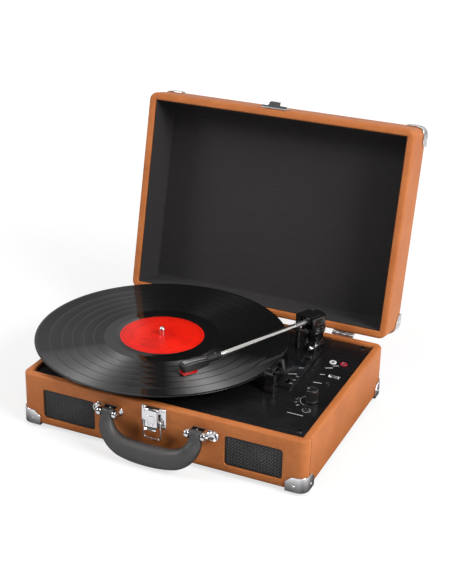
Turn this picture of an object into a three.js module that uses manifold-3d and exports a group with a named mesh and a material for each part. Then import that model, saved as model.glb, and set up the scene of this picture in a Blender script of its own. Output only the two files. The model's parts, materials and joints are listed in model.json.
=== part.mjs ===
// A suitcase record player: a hinged, leatherette-covered box with a belt-driven platter, a straight
// tonearm, two front speakers, a front carrying handle and a draw latch.
// Millimetres, +X right, +Y back, +Z up. The origin is the centre of the case's underside.
// The lid is modelled closed, in a group on its hinge axis, and that group is turned open.

import * as THREE from "three";
import { mergeVertices } from "three/addons/utils/BufferGeometryUtils.js";
import Module from "manifold-3d";

const wasm = await Module();
wasm.setup();

// ---------- driving dimensions ----------
const CASE_W = 348; // outside width
const CASE_D = 255; // outside depth
const BASE_H = 62; // base height, up to the seam
const LID_H = 55.1; // lid height above the seam
const WALL = 9; // covered board thickness
const CASE_R = 10; // vertical corner radius
const SEAM = 0.4; // gap at the closed seam
const GAP = 0.3; // gap between neighbouring pieces

const FRONT = -CASE_D / 2;
const BACK = CASE_D / 2;
const ON_FRONT = FRONT - GAP; // back of the fittings on the front face
const INNER_W = CASE_W - 2 * WALL;
const INNER_D = CASE_D - 2 * WALL;
const FITTED_W = INNER_W - 2 * GAP; // panels that fit inside the walls
const FITTED_D = INNER_D - 2 * GAP;

const HINGE_Y = 131.2; // hinge axis, behind the back face
const HINGE_Z = 61.1;
const LID_OPEN = 102.3; // degrees the lid stands open

const DECK_TOP = 58.5;
const DECK_T = 2.5;
const PLATEAU_TOP = 60.7; // raised mechanism cover on the deck

const PLATTER_X = -63.8;
const PLATTER_Y = 7.2;
const PLATTER_R = 96;
const SPINDLE_R = 3.5;
const SPINDLE_TOP = 85;
const PULLEY_DX = -59.4; // pulley from the platter's axis
const PULLEY_DY = 59.4;
const PULLEY_X = PLATTER_X + PULLEY_DX;
const PULLEY_Y = PLATTER_Y + PULLEY_DY;

const ARM_X = 92.5; // tonearm's upright axis
const ARM_Y = 102;
const ARM_SWING = 25.5; // degrees from straight forward to the playing position
const ARM_Z = 89; // tonearm's level axis height
const ARM_DROOP = 0.88; // degrees the tube falls towards its front

// ---------- geometry helpers ----------
// A range is a [low, high] pair and a point is [x, y, z].
const rad = (degrees) => (degrees * Math.PI) / 180;
const span = (centre, width) => [centre - width / 2, centre + width / 2];
const join = (...solids) => solids.reduce((a, b) => a.add(b));
const cut = (body, ...tools) => tools.reduce((a, b) => a.subtract(b), body);

function solid(geometry) {
  geometry.deleteAttribute("normal");
  geometry.deleteAttribute("uv");
  const merged = mergeVertices(geometry, 1e-4);
  return new wasm.Manifold(
    new wasm.Mesh({
      numProp: 3,
      vertProperties: new Float32Array(merged.attributes.position.array),
      triVerts: new Uint32Array(merged.index.array),
    }),
  );
}

function geometryOf(body) {
  const mesh = body.getMesh();
  const geometry = new THREE.BufferGeometry();
  const positions = new Float32Array(mesh.vertProperties);
  geometry.setAttribute("position", new THREE.BufferAttribute(positions, 3));
  geometry.setIndex(new THREE.BufferAttribute(new Uint32Array(mesh.triVerts), 1));
  geometry.computeVertexNormals();
  return geometry;
}

// a box filling three ranges
function box([x0, x1], [y0, y1], [z0, z1]) {
  const geometry = new THREE.BoxGeometry(x1 - x0, y1 - y0, z1 - z0);
  geometry.translate((x0 + x1) / 2, (y0 + y1) / 2, (z0 + z1) / 2);
  return solid(geometry);
}

// a cylinder, or a cone with another end radius, from a start point along a positive axis
function rod(axis, start, radius, length, segments = 24, endRadius = radius) {
  const geometry = new THREE.CylinderGeometry(endRadius, radius, length, segments);
  geometry.translate(0, length / 2, 0);
  if (axis === "z") geometry.rotateX(Math.PI / 2);
  if (axis === "x") geometry.rotateZ(-Math.PI / 2);
  geometry.translate(...start);
  return solid(geometry);
}

function roundRect(width, height, radius, centreX = 0, centreY = 0) {
  const shape = new THREE.Shape();
  const quarter = Math.PI / 2;
  // one arc per corner, anticlockwise from the lower right; straight edges fill in between
  [[1, -1], [1, 1], [-1, 1], [-1, -1]].forEach(([sideX, sideY], i) => {
    const x = centreX + sideX * (width / 2 - radius);
    const y = centreY + sideY * (height / 2 - radius);
    shape.absarc(x, y, radius, (i - 1) * quarter, i * quarter, false);
  });
  return shape;
}

function polygon(points) {
  const shape = new THREE.Shape();
  points.forEach(([x, y], i) => (i ? shape.lineTo(x, y) : shape.moveTo(x, y)));
  shape.closePath();
  return shape;
}

const extrude = (shape, depth, curveSegments) =>
  new THREE.ExtrudeGeometry(shape, { depth, bevelEnabled: false, curveSegments });

// a plan shape raised from z0 to z1
function slab(shape, z0, z1, segments = 5) {
  const geometry = extrude(shape, z1 - z0, segments);
  geometry.translate(0, 0, z0);
  return solid(geometry);
}

// a front-view shape (x, z) given depth from y0 back to y1
function plate(shape, y0, y1, segments = 5) {
  const geometry = extrude(shape, y1 - y0, segments);
  geometry.rotateX(Math.PI / 2);
  geometry.translate(0, y1, 0);
  return solid(geometry);
}

// a profile of [radius, z] points turned round the z axis
function lathe(profile, segments = 32) {
  const points = profile.map(([radius, z]) => new THREE.Vector2(radius, z));
  const geometry = new THREE.LatheGeometry(points, segments);
  geometry.rotateX(Math.PI / 2);
  return solid(geometry);
}

// ---------- materials ----------
const finish = (settings) => new THREE.MeshStandardMaterial(settings);
const FINISH = {
  tan: finish({ color: 0xc4713c, roughness: 0.55, metalness: 0 }),
  lining: finish({ color: 0x17161a, roughness: 0.95, metalness: 0 }),
  board: finish({ color: 0x2a2522, roughness: 0.9, metalness: 0 }),
  deck: finish({ color: 0x131314, roughness: 0.38, metalness: 0 }),
  satin: finish({ color: 0x1b1b1d, roughness: 0.5, metalness: 0 }),
  gloss: finish({ color: 0x0b0b0c, roughness: 0.15, metalness: 0 }),
  mesh: finish({ color: 0x3a3c40, roughness: 0.85, metalness: 0 }),
  grip: finish({ color: 0x3b3a3d, roughness: 0.6, metalness: 0 }),
  chrome: finish({ color: 0xd9d9dc, roughness: 0.12, metalness: 1 }),
  steel: finish({ color: 0xa9abae, roughness: 0.35, metalness: 1 }),
  aluminium: finish({ color: 0xd6d7da, roughness: 0.25, metalness: 1 }),
  rubber: finish({ color: 0x1a1a1a, roughness: 0.9, metalness: 0 }),
  felt: finish({ color: 0x1d1d20, roughness: 0.98, metalness: 0 }),
  red: finish({ color: 0xc01812, roughness: 0.35, metalness: 0 }),
  white: finish({ color: 0xe9e9ea, roughness: 0.4, metalness: 0 }),
  green: finish({ color: 0x1f5a35, roughness: 0.5, metalness: 0 }),
  cone: finish({ color: 0x202022, roughness: 0.8, metalness: 0 }),
};

// ---------- assembly helpers ----------
const player = new THREE.Group();

function add(group, name, body, material) {
  const mesh = new THREE.Mesh(geometryOf(body), material);
  mesh.name = name;
  group.add(mesh);
}

function addGroup(parent, x, y, z) {
  const group = new THREE.Group();
  group.position.set(x, y, z);
  parent.add(group);
  return group;
}

// name, side in x, side in y
const CORNERS = [
  ["front_left", -1, -1],
  ["front_right", 1, -1],
  ["back_left", -1, 1],
  ["back_right", 1, 1],
];
const SIDES = [["left", -1], ["right", 1]];

// ---------- base ----------
const OUTER = roundRect(CASE_W, CASE_D, CASE_R);
const INNER = roundRect(INNER_W, INNER_D, 1.5);

const SPEAKER_X = 113.2; // speaker opening centre, each side
const SPEAKER_Z = 27.6;
const SPEAKER_W = 67.4;
const SPEAKER_H = 36.6;
const DRIVER_Z = 30;

const INLET_X = 60; // power inlet in the back wall
const INLET_Z = 26;

const FLOOR_T = 4; // base floor panel thickness
const LINER_T = 1; // bottom liner panel, proud of the floor's margin
const LINER_W = 244;
const LINER_D = 158;
const FOOT_H = 6; // rubber foot height, from the floor's margin
const FOOT_R = 9;
const FOOT_X = 138;
const FOOT_Y = 95;

function baseShell() {
  const speakerHole = (side) => {
    const shape = roundRect(SPEAKER_W, SPEAKER_H, 4, side * SPEAKER_X, SPEAKER_Z);
    return plate(shape, FRONT - 5, FRONT + WALL + 5, 3);
  };
  return cut(
    slab(OUTER, 0, BASE_H, 6),
    slab(INNER, -5, BASE_H + 5, 2),
    speakerHole(-1),
    speakerHole(1),
    rod("y", [INLET_X, BACK - WALL - 5, INLET_Z], 4.2, WALL + 10, 20),
  );
}

// a barrel through the back wall with a square body inside
function inletSocket() {
  const wallY = BACK - WALL;
  return cut(
    join(
      rod("y", [INLET_X, wallY - 1, INLET_Z], 3.8, WALL + 1.6, 20),
      box(span(INLET_X, 12), [wallY - 12, wallY - GAP], span(INLET_Z, 12)),
    ),
    rod("y", [INLET_X, wallY, INLET_Z], 2.7, 20, 16),
  );
}

function baseFloor() {
  return join(
    slab(roundRect(FITTED_W, FITTED_D, 1.5), LINER_T, FLOOR_T, 2),
    slab(roundRect(LINER_W, LINER_D, 6), 0, LINER_T + 1, 3),
  );
}

function foot(sideX, sideY) {
  const start = [sideX * FOOT_X, sideY * FOOT_Y, LINER_T - GAP - FOOT_H];
  return rod("z", start, FOOT_R - 1, FOOT_H, 24, FOOT_R);
}

add(player, "base_shell", baseShell(), FINISH.tan);
add(player, "dc_socket", inletSocket(), FINISH.satin);
add(player, "base_floor", baseFloor(), FINISH.board);
for (const [corner, sideX, sideY] of CORNERS)
  add(player, "foot_" + corner, foot(sideX, sideY), FINISH.rubber);

// A pressed corner cap: two sides round the upright corner and one face under it.
// It is built for the +X, +Y corner with the face below z = 0, then mirrored.
function cornerGuard(sideX, sideY, sideZ) {
  const reach = 23; // along each wall from the corner
  const high = 17;
  const slopeFoot = 9; // height where the sloping free edges start
  const square = 9.5; // left unsloped, next to the corner
  const out = GAP + 1.2; // outer face, from the case
  const edgeX = CASE_W / 2;
  const edgeY = CASE_D / 2;
  const skin = (offset, top) => {
    const shape = roundRect(CASE_W + 2 * offset, CASE_D + 2 * offset, CASE_R + offset);
    return slab(shape, -offset, top, 6);
  };
  const plan = polygon([
    [edgeX - reach, edgeY + 5],
    [edgeX - reach, edgeY - reach * 0.4],
    [edgeX - reach * 0.4, edgeY - reach],
    [edgeX + 5, edgeY - reach],
    [edgeX + 5, edgeY + 5],
  ]);
  const cap = cut(skin(out, high), skin(GAP, high + 5)).intersect(slab(plan, -5, high + 5));
  // the free edges slope in towards the corner
  const slope = (edge) =>
    polygon([
      [edge - reach - 1, slopeFoot],
      [edge - reach - 1, high + 6],
      [edge - 9, high + 6],
    ]);
  const backSlope = plate(slope(edgeX), edgeY - 4, edgeY + 5);
  const sideSlope = plate(slope(edgeY), -edgeX - 6, -edgeX + 6).rotate([0, 0, 90]);
  const keep = box(
    [edgeX - square, edgeX + 5],
    [edgeY - square, edgeY + 5],
    [-5, high + 8],
  );
  return join(cap.intersect(keep), cut(cap, keep, backSlope, sideSlope))
    .scale([sideX, sideY, sideZ]);
}
for (const [corner, sideX, sideY] of CORNERS)
  add(player, "base_guard_" + corner, cornerGuard(sideX, sideY, 1), FINISH.chrome);

// speakers: woven grille in the opening, driver behind the wall
function speakerGrille(x) {
  const shape = roundRect(SPEAKER_W - 2 * GAP, SPEAKER_H - 2 * GAP, 4 - GAP, x, SPEAKER_Z);
  return plate(shape, FRONT + 1.6, FRONT + 3.4, 3);
}

function speakerDriver(x) {
  const y = FRONT + WALL + 0.5;
  return cut(
    join(
      plate(roundRect(64, 46, 6, x, DRIVER_Z), y, y + 2.5, 3),
      rod("y", [x, y + 2, DRIVER_Z], 21, 13, 24, 14),
      rod("y", [x, y + 14, DRIVER_Z], 17, 10, 24),
    ),
    rod("y", [x, y - 1, DRIVER_Z], 19, 8, 24, 8),
  );
}

for (const [side, sign] of SIDES) {
  add(player, "speaker_grille_" + side, speakerGrille(sign * SPEAKER_X), FINISH.mesh);
  add(player, "speaker_driver_" + side, speakerDriver(sign * SPEAKER_X), FINISH.cone);
}

// ---------- hinges ----------
const HINGE_X = 120.5; // centre of each hinge
const HINGE_W = 27;
const KNUCKLE_SPLIT = 4.4; // knuckles meet this far from the hinge's centre
const KNUCKLE_PLAY = 0.15; // each knuckle stops this far short of the split

// The base leaf has two knuckles and the pin, the lid leaf the middle knuckle.
// Both are built rising from the axis at z = 0; the base leaf is then mirrored down.
function hingeLeaf(x, onLid) {
  const half = HINGE_W / 2;
  const y0 = BACK + GAP;
  const y1 = y0 + 1.4;
  const knuckle = (x0, x1) =>
    join(
      box([x0, x1], [y0, y1], [0.8, 4]),
      box([x0, x1], [y0, HINGE_Y], [0.9, 2.3]),
      rod("x", [x0, HINGE_Y, 0], 2.5, x1 - x0, 16),
    );
  const leaf = box([-half, half], [y0, y1], [2.6, 20]);
  if (onLid) {
    const end = KNUCKLE_SPLIT - KNUCKLE_PLAY;
    const bore = rod("x", [-20, HINGE_Y, 0], 1.35, 40, 16);
    return cut(join(leaf, knuckle(-end, end)), bore).translate([x, 0, HINGE_Z]);
  }
  const start = KNUCKLE_SPLIT + KNUCKLE_PLAY;
  const pin = rod("x", [1 - half, HINGE_Y, 0], 1.2, HINGE_W - 2, 16);
  return join(leaf, knuckle(-half, -start), knuckle(start, half), pin)
    .scale([1, 1, -1])
    .translate([x, 0, HINGE_Z]);
}
for (const [side, sign] of SIDES)
  add(player, "hinge_base_leaf_" + side, hingeLeaf(sign * HINGE_X, false), FINISH.steel);

// ---------- deck ----------
// places on the deck: [x, y]
const SPEED = [104, -4];
const AUTOSTOP = [104, 56];
const RCA = [[133.6, 60.6], [146.6, 61.6]];
const USB = [147, 27];
const AUX = [146, 7];
const PHONES = [146, -59];
const KNOB = [144, -37];
const SCREWS = [
  ["deck_screw_front_right", [155.5, -103]],
  ["deck_screw_back_right", [152, 112]],
];
const SCREW_SEAT = DECK_TOP - 1.2; // floor of the screw heads' recesses

const CUE = [103.1, 70.4, 66]; // cue lever's pin
const CUE_TURN = 16.5; // degrees the lever points to the right of straight back

const PLATFORM_R = 28; // mid-radius of the lift platform about the tonearm's axis
const PLATFORM_X = ARM_X + PLATFORM_R * Math.cos(rad(250)); // its post
const PLATFORM_Y = ARM_Y + PLATFORM_R * Math.sin(rad(250));

function plateauShape() {
  const shape = new THREE.Shape();
  shape.moveTo(48, -22);
  shape.lineTo(111, -22);
  shape.quadraticCurveTo(113, -22, 113, -20);
  shape.lineTo(113, 113);
  shape.quadraticCurveTo(113, 117, 109, 117);
  shape.lineTo(56, 117);
  shape.quadraticCurveTo(52, 117, 51, 113);
  shape.lineTo(44, -16);
  shape.quadraticCurveTo(43.5, -22, 48, -22);
  return shape;
}

// one of the two lugs that carry the cue lever's pin
function cueLug(x0, x1) {
  return cut(
    box([x0, x1], [-2.4, 2.4], [PLATEAU_TOP - 1 - CUE[2], 2.2]),
    rod("x", [x0 - 1, 0, 0], 1.4, x1 - x0 + 2, 12),
  )
    .rotate([0, 0, -CUE_TURN])
    .translate(CUE);
}

function deckPlate() {
  const hole = ([x, y], radius, segments = 20) => rod("z", [x, y, 40], radius, 40, segments);
  const slot = ([x, y], width, length) => box(span(x, width), span(y, length), [40, 80]);
  const plain = join(
    slab(roundRect(FITTED_W, FITTED_D, 1.2), DECK_TOP - DECK_T, DECK_TOP, 2),
    slab(plateauShape(), DECK_TOP - 1, PLATEAU_TOP, 3),
  );
  const pierced = cut(
    plain,
    hole([PLATTER_X, PLATTER_Y], SPINDLE_R + GAP),
    hole([PULLEY_X, PULLEY_Y], 4),
    hole([PLATFORM_X, PLATFORM_Y], 3.3, 16),
    ...RCA.map((place) => hole(place, 4.5)),
    slot(USB, 14, 6.6),
    hole(AUX, 3.8),
    hole(PHONES, 3.8),
    hole(KNOB, 3.3, 16),
    slot(SPEED, 4, 20),
    slot(AUTOSTOP, 4, 12),
    ...SCREWS.map(([, place]) => hole(place, 1.9, 12)),
    ...SCREWS.map(([, place]) => rod("z", [...place, SCREW_SEAT], 4.2, 5, 20)),
  );
  return join(pierced, cueLug(-5.3, -3.9), cueLug(3.9, 5.3));
}

function deckScrew(place) {
  return join(
    rod("z", [...place, SCREW_SEAT + GAP], 3.2, 1.1, 16),
    rod("z", [...place, DECK_TOP - 12], 1.5, 11.5, 12),
  );
}

add(player, "deck_plate", deckPlate(), FINISH.deck);
for (const [name, place] of SCREWS) add(player, name, deckScrew(place), FINISH.satin);

// ---------- spindle, motor, platter and belt ----------
const RIM_R = 70; // belt rim under the platter
const BELT_T = 1;
const BELT_RIM_R = 71; // belt's mid-line round the rim
const BELT_PULLEY_R = 6.9; // belt's mid-line round the pulley
const PLATTER_UNDER = 66.2; // platter disc's underside
const PLATTER_TOP = 70.5;

function spindle() {
  return lathe([
    [0, 44],
    [SPINDLE_R, 44],
    [SPINDLE_R, SPINDLE_TOP - 3.2],
    [SPINDLE_R * 0.86, SPINDLE_TOP - 1.4],
    [SPINDLE_R * 0.5, SPINDLE_TOP - 0.3],
    [0, SPINDLE_TOP],
  ], 24).translate([PLATTER_X, PLATTER_Y, 0]);
}

function motor() {
  const bottom = 30;
  const height = DECK_TOP - DECK_T - GAP - bottom;
  return join(
    rod("z", [PULLEY_X, PULLEY_Y, bottom], 14, height, 24),
    rod("z", [PULLEY_X, PULLEY_Y, 50], 1, 15, 12),
  );
}

function motorPulley() {
  const body = lathe([
    [0, 59.6], [7.2, 59.6], [7.2, 60.8], [6, 61.2],
    [6, 65.2], [7.2, 65.4], [7.2, 65.7], [0, 65.7],
  ], 20);
  return cut(body, rod("z", [0, 0, 55], 1.1, 20, 12));
}

// a disc with a skirt, a belt rim and a hub below it
function platterBody() {
  const ring = (radius, innerRadius, segments, innerSegments) =>
    cut(
      rod("z", [0, 0, 61], radius, 5.6, segments),
      rod("z", [0, 0, 60], innerRadius, 8, innerSegments),
    );
  const disc = lathe([
    [0, PLATTER_UNDER],
    [PLATTER_R - 1, PLATTER_UNDER],
    [PLATTER_R, 67],
    [PLATTER_R, 69.6],
    [PLATTER_R - 1, PLATTER_TOP],
    [0, PLATTER_TOP],
  ], 40);
  return cut(
    join(
      disc,
      ring(PLATTER_R - 0.8, PLATTER_R - 3.4, 40, 40),
      ring(RIM_R, RIM_R - 3.5, 36, 24),
      rod("z", [0, 0, 59.6], 11, 7, 20),
    ),
    rod("z", [0, 0, 50], SPINDLE_R + 0.1, 30, 24),
  );
}

function slipMat() {
  return cut(
    rod("z", [0, 0, PLATTER_TOP + GAP], PLATTER_R - 1.5, 1.5, 40),
    rod("z", [0, 0, 60], SPINDLE_R + 0.6, 20, 24),
  );
}

// A loop of two arcs and two straights round the rim and the pulley, offset from the
// belt's mid-line. The pulley turns BELT_RIM_R / BELT_PULLEY_R times as fast as the platter.
function beltLoop(offset) {
  const rimSteps = 40;
  const pulleySteps = rimSteps / 4;
  const rimR = BELT_RIM_R + offset;
  const pulleyR = BELT_PULLEY_R + offset;
  const heading = Math.atan2(PULLEY_DY, PULLEY_DX);
  const tangent = Math.acos((rimR - pulleyR) / Math.hypot(PULLEY_DX, PULLEY_DY));
  const points = [];
  for (let i = 0; i <= rimSteps; i++) {
    const angle = heading + tangent + ((2 * Math.PI - 2 * tangent) * i) / rimSteps;
    points.push([rimR * Math.cos(angle), rimR * Math.sin(angle)]);
  }
  for (let i = 0; i <= pulleySteps; i++) {
    const angle = heading - tangent + (2 * tangent * i) / pulleySteps;
    points.push([
      PULLEY_DX + pulleyR * Math.cos(angle),
      PULLEY_DY + pulleyR * Math.sin(angle),
    ]);
  }
  return polygon(points);
}

function driveBelt() {
  return cut(slab(beltLoop(BELT_T / 2), 61.6, 65), slab(beltLoop(-BELT_T / 2), 60, 67))
    .translate([PLATTER_X, PLATTER_Y, 0]);
}

add(player, "spindle", spindle(), FINISH.chrome);
add(player, "motor", motor(), FINISH.steel);
const pulley = addGroup(player, PULLEY_X, PULLEY_Y, 0);
add(pulley, "motor_pulley", motorPulley(), FINISH.satin);
const platter = addGroup(player, PLATTER_X, PLATTER_Y, 0);
add(platter, "platter", platterBody(), FINISH.satin);
add(platter, "slip_mat", slipMat(), FINISH.felt);
add(player, "drive_belt", driveBelt(), FINISH.rubber);

// ---------- tonearm ----------
const TUBE_R = 2.9;
const TUBE_START = 8.6; // distances along the arm from its upright axis
const HEAD_AT = 168; // where the headshell's body starts
const TUBE_END = HEAD_AT - 16;
const SLEEVE_START = HEAD_AT - 20.2;
const SLEEVE_L = 21.5;
const HEAD_OFFSET = 9.5; // degrees the headshell turns in
const PIVOT_BORE_R = 1.65; // gimbal's bores for the level pivot

const tubeHeight = (distance) => ARM_Z - distance * Math.tan(rad(ARM_DROOP));
// from a level line at z = 0 to the drooping line of the tube
const alongTube = (body) => body.rotate([ARM_DROOP, 0, 0]).translate([0, 0, ARM_Z]);
// from the head's frame: origin where the headshell's body starts, -Y forward
const atHead = (body) =>
  body.rotate([0, 0, -HEAD_OFFSET]).translate([0, -HEAD_AT, tubeHeight(HEAD_AT)]);

function tonearmBase() {
  const tower = lathe([
    [0, 61], [15, 61], [15, 62.2], [11, 62.6], [13.4, 73.8],
    [14.4, 75], [14.4, 79.2], [13.8, 80], [0, 80],
  ]).translate([ARM_X, ARM_Y, 0]);
  return cut(tower, rod("z", [ARM_X, ARM_Y, 68], 3.1, 30, 16));
}

// a turntable with a cheek on each side of the block
function tonearmGimbal() {
  const leftX = [-13.9, -7.6];
  const rightX = [7.6, 10.6];
  // the left cheek is the deeper one, with an apron down in front of the tower
  const leftCheek = cut(
    join(box(leftX, [-16.9, 5], [82, 95.6]), box(leftX, [-16.9, -14.9], [74, 84])),
    rod("x", [-12.2, 0, ARM_Z], PIVOT_BORE_R, 6, 12),
  );
  const rightCheek = cut(
    box(rightX, [-12, 9.2], [82, 94.6]),
    rod("x", [rightX[0] - 1, 0, ARM_Z], PIVOT_BORE_R, 5, 12),
  );
  return join(
    rod("z", [0, 0, 80.3], 13.6, 2.7, 32),
    rod("z", [0, 0, 70], 3, 11, 16),
    leftCheek,
    rightCheek,
  );
}

function tonearmBlock() {
  return cut(
    join(
      box([-7.2, 7.2], [-13.5, 11.6], [86, 95.8]),
      rod("x", [-10.4, 0, ARM_Z], 1.5, 20.8, 12),
    ),
    rod("y", [0, -20, ARM_Z], 3.35, 12, 20),
  );
}

function tonearmTube() {
  return alongTube(rod("y", [0, -TUBE_END, 0], TUBE_R, TUBE_END - TUBE_START, 20));
}

// side view of the headshell: distance forward, z
const SHELL_PROFILE = [
  [-1, 3.6], [4, 4], [26, 3.6], [30.5, 1.6],
  [31.5, -1.5], [31, -6.2], [24, -6.6], [-1, -4.4],
];

function headshell() {
  const body = cut(
    plate(polygon(SHELL_PROFILE), -6.7, 6.7).rotate([0, 0, -90]),
    box([-5.2, 5.2], [-29.5, -5], [-12, 1.4]),
  );
  const sleeve = cut(
    rod("y", [0, -SLEEVE_START - SLEEVE_L, 0], 4.9, SLEEVE_L, 24, 4.6),
    rod("y", [0, -TUBE_END - 2, 0], 3.25, 8, 20),
  );
  return join(alongTube(sleeve), atHead(body));
}

function cartridge() {
  return atHead(
    join(
      box([-4.9, 4.9], [-29, -7], [-6.8, 1]),
      box([-3.4, 3.4], [-7.2, -5.4], [-6, -1]),
    ),
  );
}

function stylus() {
  return atHead(
    join(
      box([-4.9, 4.9], [-31, -13], [-10.4, -7.1]),
      rod("z", [0, -24.5, -11.8], 0.25, 1.6, 10, 0.9),
    ),
  );
}

add(player, "tonearm_base", tonearmBase(), FINISH.satin);
// the arm points straight forward in its own frame, turned to the playing position
const arm = addGroup(player, ARM_X, ARM_Y, 0);
arm.rotation.z = rad(-ARM_SWING);
add(arm, "tonearm_gimbal", tonearmGimbal(), FINISH.satin);
add(arm, "tonearm_block", tonearmBlock(), FINISH.satin);
add(arm, "tonearm_tube", tonearmTube(), FINISH.aluminium);
add(arm, "headshell", headshell(), FINISH.satin);
add(arm, "cartridge", cartridge(), FINISH.gloss);
add(arm, "stylus", stylus(), FINISH.red);

// ---------- lift platform, cue lever and arm rest ----------
// an arc under the tube, on a post that slides in the deck
function liftPlatform() {
  const [innerR, outerR] = span(PLATFORM_R, 6);
  const from = rad(222);
  const to = rad(277);
  const arc = new THREE.Shape();
  arc.absarc(0, 0, outerR, from, to, false);
  arc.absarc(0, 0, innerR, to, from, true);
  arc.closePath();
  return join(
    slab(arc, 82.2, 84.9, 10).translate([ARM_X, ARM_Y, 0]),
    rod("z", [PLATFORM_X, PLATFORM_Y, 50], 3, 33, 16),
  );
}

// a flat tab on a stem that turns on a level axis in front of the tower
function cueLever() {
  return join(
    box([-3.2, 3.2], [0, 21.5], [0.2, 2.2]),
    box([-2.4, 2.4], [-2, 5], [-1.5, 1]),
    rod("x", [-3.4, 0, 0], 2.2, 6.8, 16),
    rod("x", [-5.2, 0, 0], 1.1, 10.4, 12),
  );
}

const REST_X = 93.4;
const REST_Y = -35;
const REST_TOP = tubeHeight(ARM_Y - REST_Y) - TUBE_R - 0.5;
const CLIP_X = REST_X + 9; // clip's pivot
const CLIP_Z = 84;

// a post with a stop on its right side and two ears for the clip's pin
function armRest() {
  const postY = [REST_Y - 5.5, REST_Y + 5];
  const ear = (y) =>
    cut(
      box([REST_X + 6, REST_X + 11.2], [y, y + 1.2], [81.6, 86.4]),
      rod("y", [CLIP_X, y - 1, CLIP_Z], 1.2, 4, 12),
    );
  return join(
    box(span(REST_X, 15), [REST_Y - 7, REST_Y + 6.5], [DECK_TOP + GAP, 66]),
    box(span(REST_X, 13), postY, [65, REST_TOP - 2]),
    box([REST_X - 6.5, REST_X + 3.6], postY, [75, REST_TOP]),
    box([REST_X + 3.5, REST_X + 6.5], postY, [75, 88.6]),
    ear(REST_Y - 5.5),
    ear(REST_Y + 4.3),
  );
}

function armRestClip() {
  return join(
    rod("y", [0, -4, 0], 2, 8, 12),
    rod("y", [0, -5.4, 0], 1, 10.8, 12),
    box([-1.6, 1.2], [-3, 3], [0, 8.3]),
    box([-14.6, 1.2], [-3, 3], [6.9, 8.5]),
    box([-14.6, -13.2], [-3, 3], [4.2, 8.3]),
  );
}

add(player, "lift_platform", liftPlatform(), FINISH.satin);
const cue = addGroup(player, ...CUE);
cue.rotation.z = rad(-CUE_TURN);
add(cue, "cue_lever", cueLever(), FINISH.chrome);
add(player, "arm_rest", armRest(), FINISH.satin);
const clip = addGroup(player, CLIP_X, REST_Y, CLIP_Z);
clip.rotation.y = rad(75);
add(clip, "arm_rest_clip", armRestClip(), FINISH.satin);

// ---------- controls and sockets ----------
const KNOB_R = 7;

function volumeKnob() {
  return join(
    lathe([
      [0, 58.9], [KNOB_R + 0.3, 58.9], [KNOB_R, 60.5],
      [KNOB_R, 72.8], [KNOB_R - 1, 74], [0, 74],
    ], 28),
    rod("z", [0, 0, 48], 2.9, 12, 14),
  );
}

// a switch button on the plateau, with a stem down through its slot
function slider([x, y], length) {
  const width = 6.4;
  const z = PLATEAU_TOP + GAP;
  return join(
    box(span(x, width), span(y, length), [z, z + 2.6]),
    box(span(x, width - 3.2), span(y, length - 2), [z - 7, z + 0.5]),
  );
}

function rcaSockets() {
  return cut(
    join(
      box([126, 153], [53, 69], [45, 55.4]),
      ...RCA.map((place) => rod("z", [...place, 55], 4.1, 4.6, 20)),
    ),
    ...RCA.map((place) => rod("z", [...place, 54], 1.6, 12, 12)),
  );
}

function usbSocket() {
  const [x, y] = USB;
  return join(
    cut(
      box(span(x, 13.2), span(y, 5.8), [45, 59.2]),
      box(span(x, 12.2), span(y, 4.8), [48, 65]),
    ),
    box(span(x, 10.6), [y - 0.1, y + 1.8], [47, 58.6]),
  );
}

function jackSocket([x, y]) {
  return cut(
    join(rod("z", [x, y, 46], 3.4, 13.2, 20), box(span(x, 10), span(y, 10), [45, 54])),
    rod("z", [x, y, 49], 1.7, 20, 12),
  );
}

const knob = addGroup(player, ...KNOB, 0);
add(knob, "volume_knob", volumeKnob(), FINISH.satin);
add(player, "speed_selector", slider(SPEED, 6), FINISH.satin);
add(player, "autostop_switch", slider([AUTOSTOP[0], AUTOSTOP[1] - 2], 5), FINISH.satin);
add(player, "rca_sockets", rcaSockets(), FINISH.white);
add(player, "usb_socket", usbSocket(), FINISH.steel);
add(player, "aux_socket", jackSocket(AUX), FINISH.satin);
add(player, "phones_socket", jackSocket(PHONES), FINISH.satin);
add(player, "circuit_board", box([120, 162], [-72, 76], [42.4, 44]), FINISH.green);

// ---------- carrying handle ----------
const HANDLE_X = -2.5; // handle's centre line
const HANDLE_Y = FRONT - 12; // pivot, in front of the face
const HANDLE_Z = 45;
const HANDLE_TILT = 14; // degrees it hangs forward
const EAR_R = 4.1;

// built for the right side, then mirrored by the sign
function handleBracket(sign) {
  const ear = (x0, x1) =>
    cut(
      join(
        box([x0, x1], [HANDLE_Y, ON_FRONT - 0.6], span(HANDLE_Z, 2 * EAR_R)),
        rod("x", [x0, HANDLE_Y, HANDLE_Z], EAR_R, x1 - x0, 18),
      ),
      rod("x", [x0 - 1, HANDLE_Y, HANDLE_Z], 1.9, x1 - x0 + 2, 14),
    );
  const backPlate = roundRect(36.5, 12.5, 6.2, 58.2, HANDLE_Z - 2);
  return join(plate(backPlate, ON_FRONT - 1.4, ON_FRONT, 5), ear(42.1, 46.5), ear(60.9, 65.3))
    .scale([sign, 1, 1])
    .translate([HANDLE_X, 0, 0]);
}

// right half of the grip's front view from its pivot: x, z
const GRIP_OUTER = [ // top to bottom
  [60.3, 6], [60.5, -3], [61.9, -9], [60.6, -16], [57.6, -24], [52.6, -32],
  [46, -38.4], [38, -43], [28, -45.8], [14, -47.7], [0, -48.2],
];
const GRIP_INNER = [ // bottom to top
  [0, -23.3], [13, -23], [26, -22.1], [34.5, -19.8],
  [40.5, -16], [45, -10.5], [46.9, -4], [46.9, 6],
];

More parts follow.
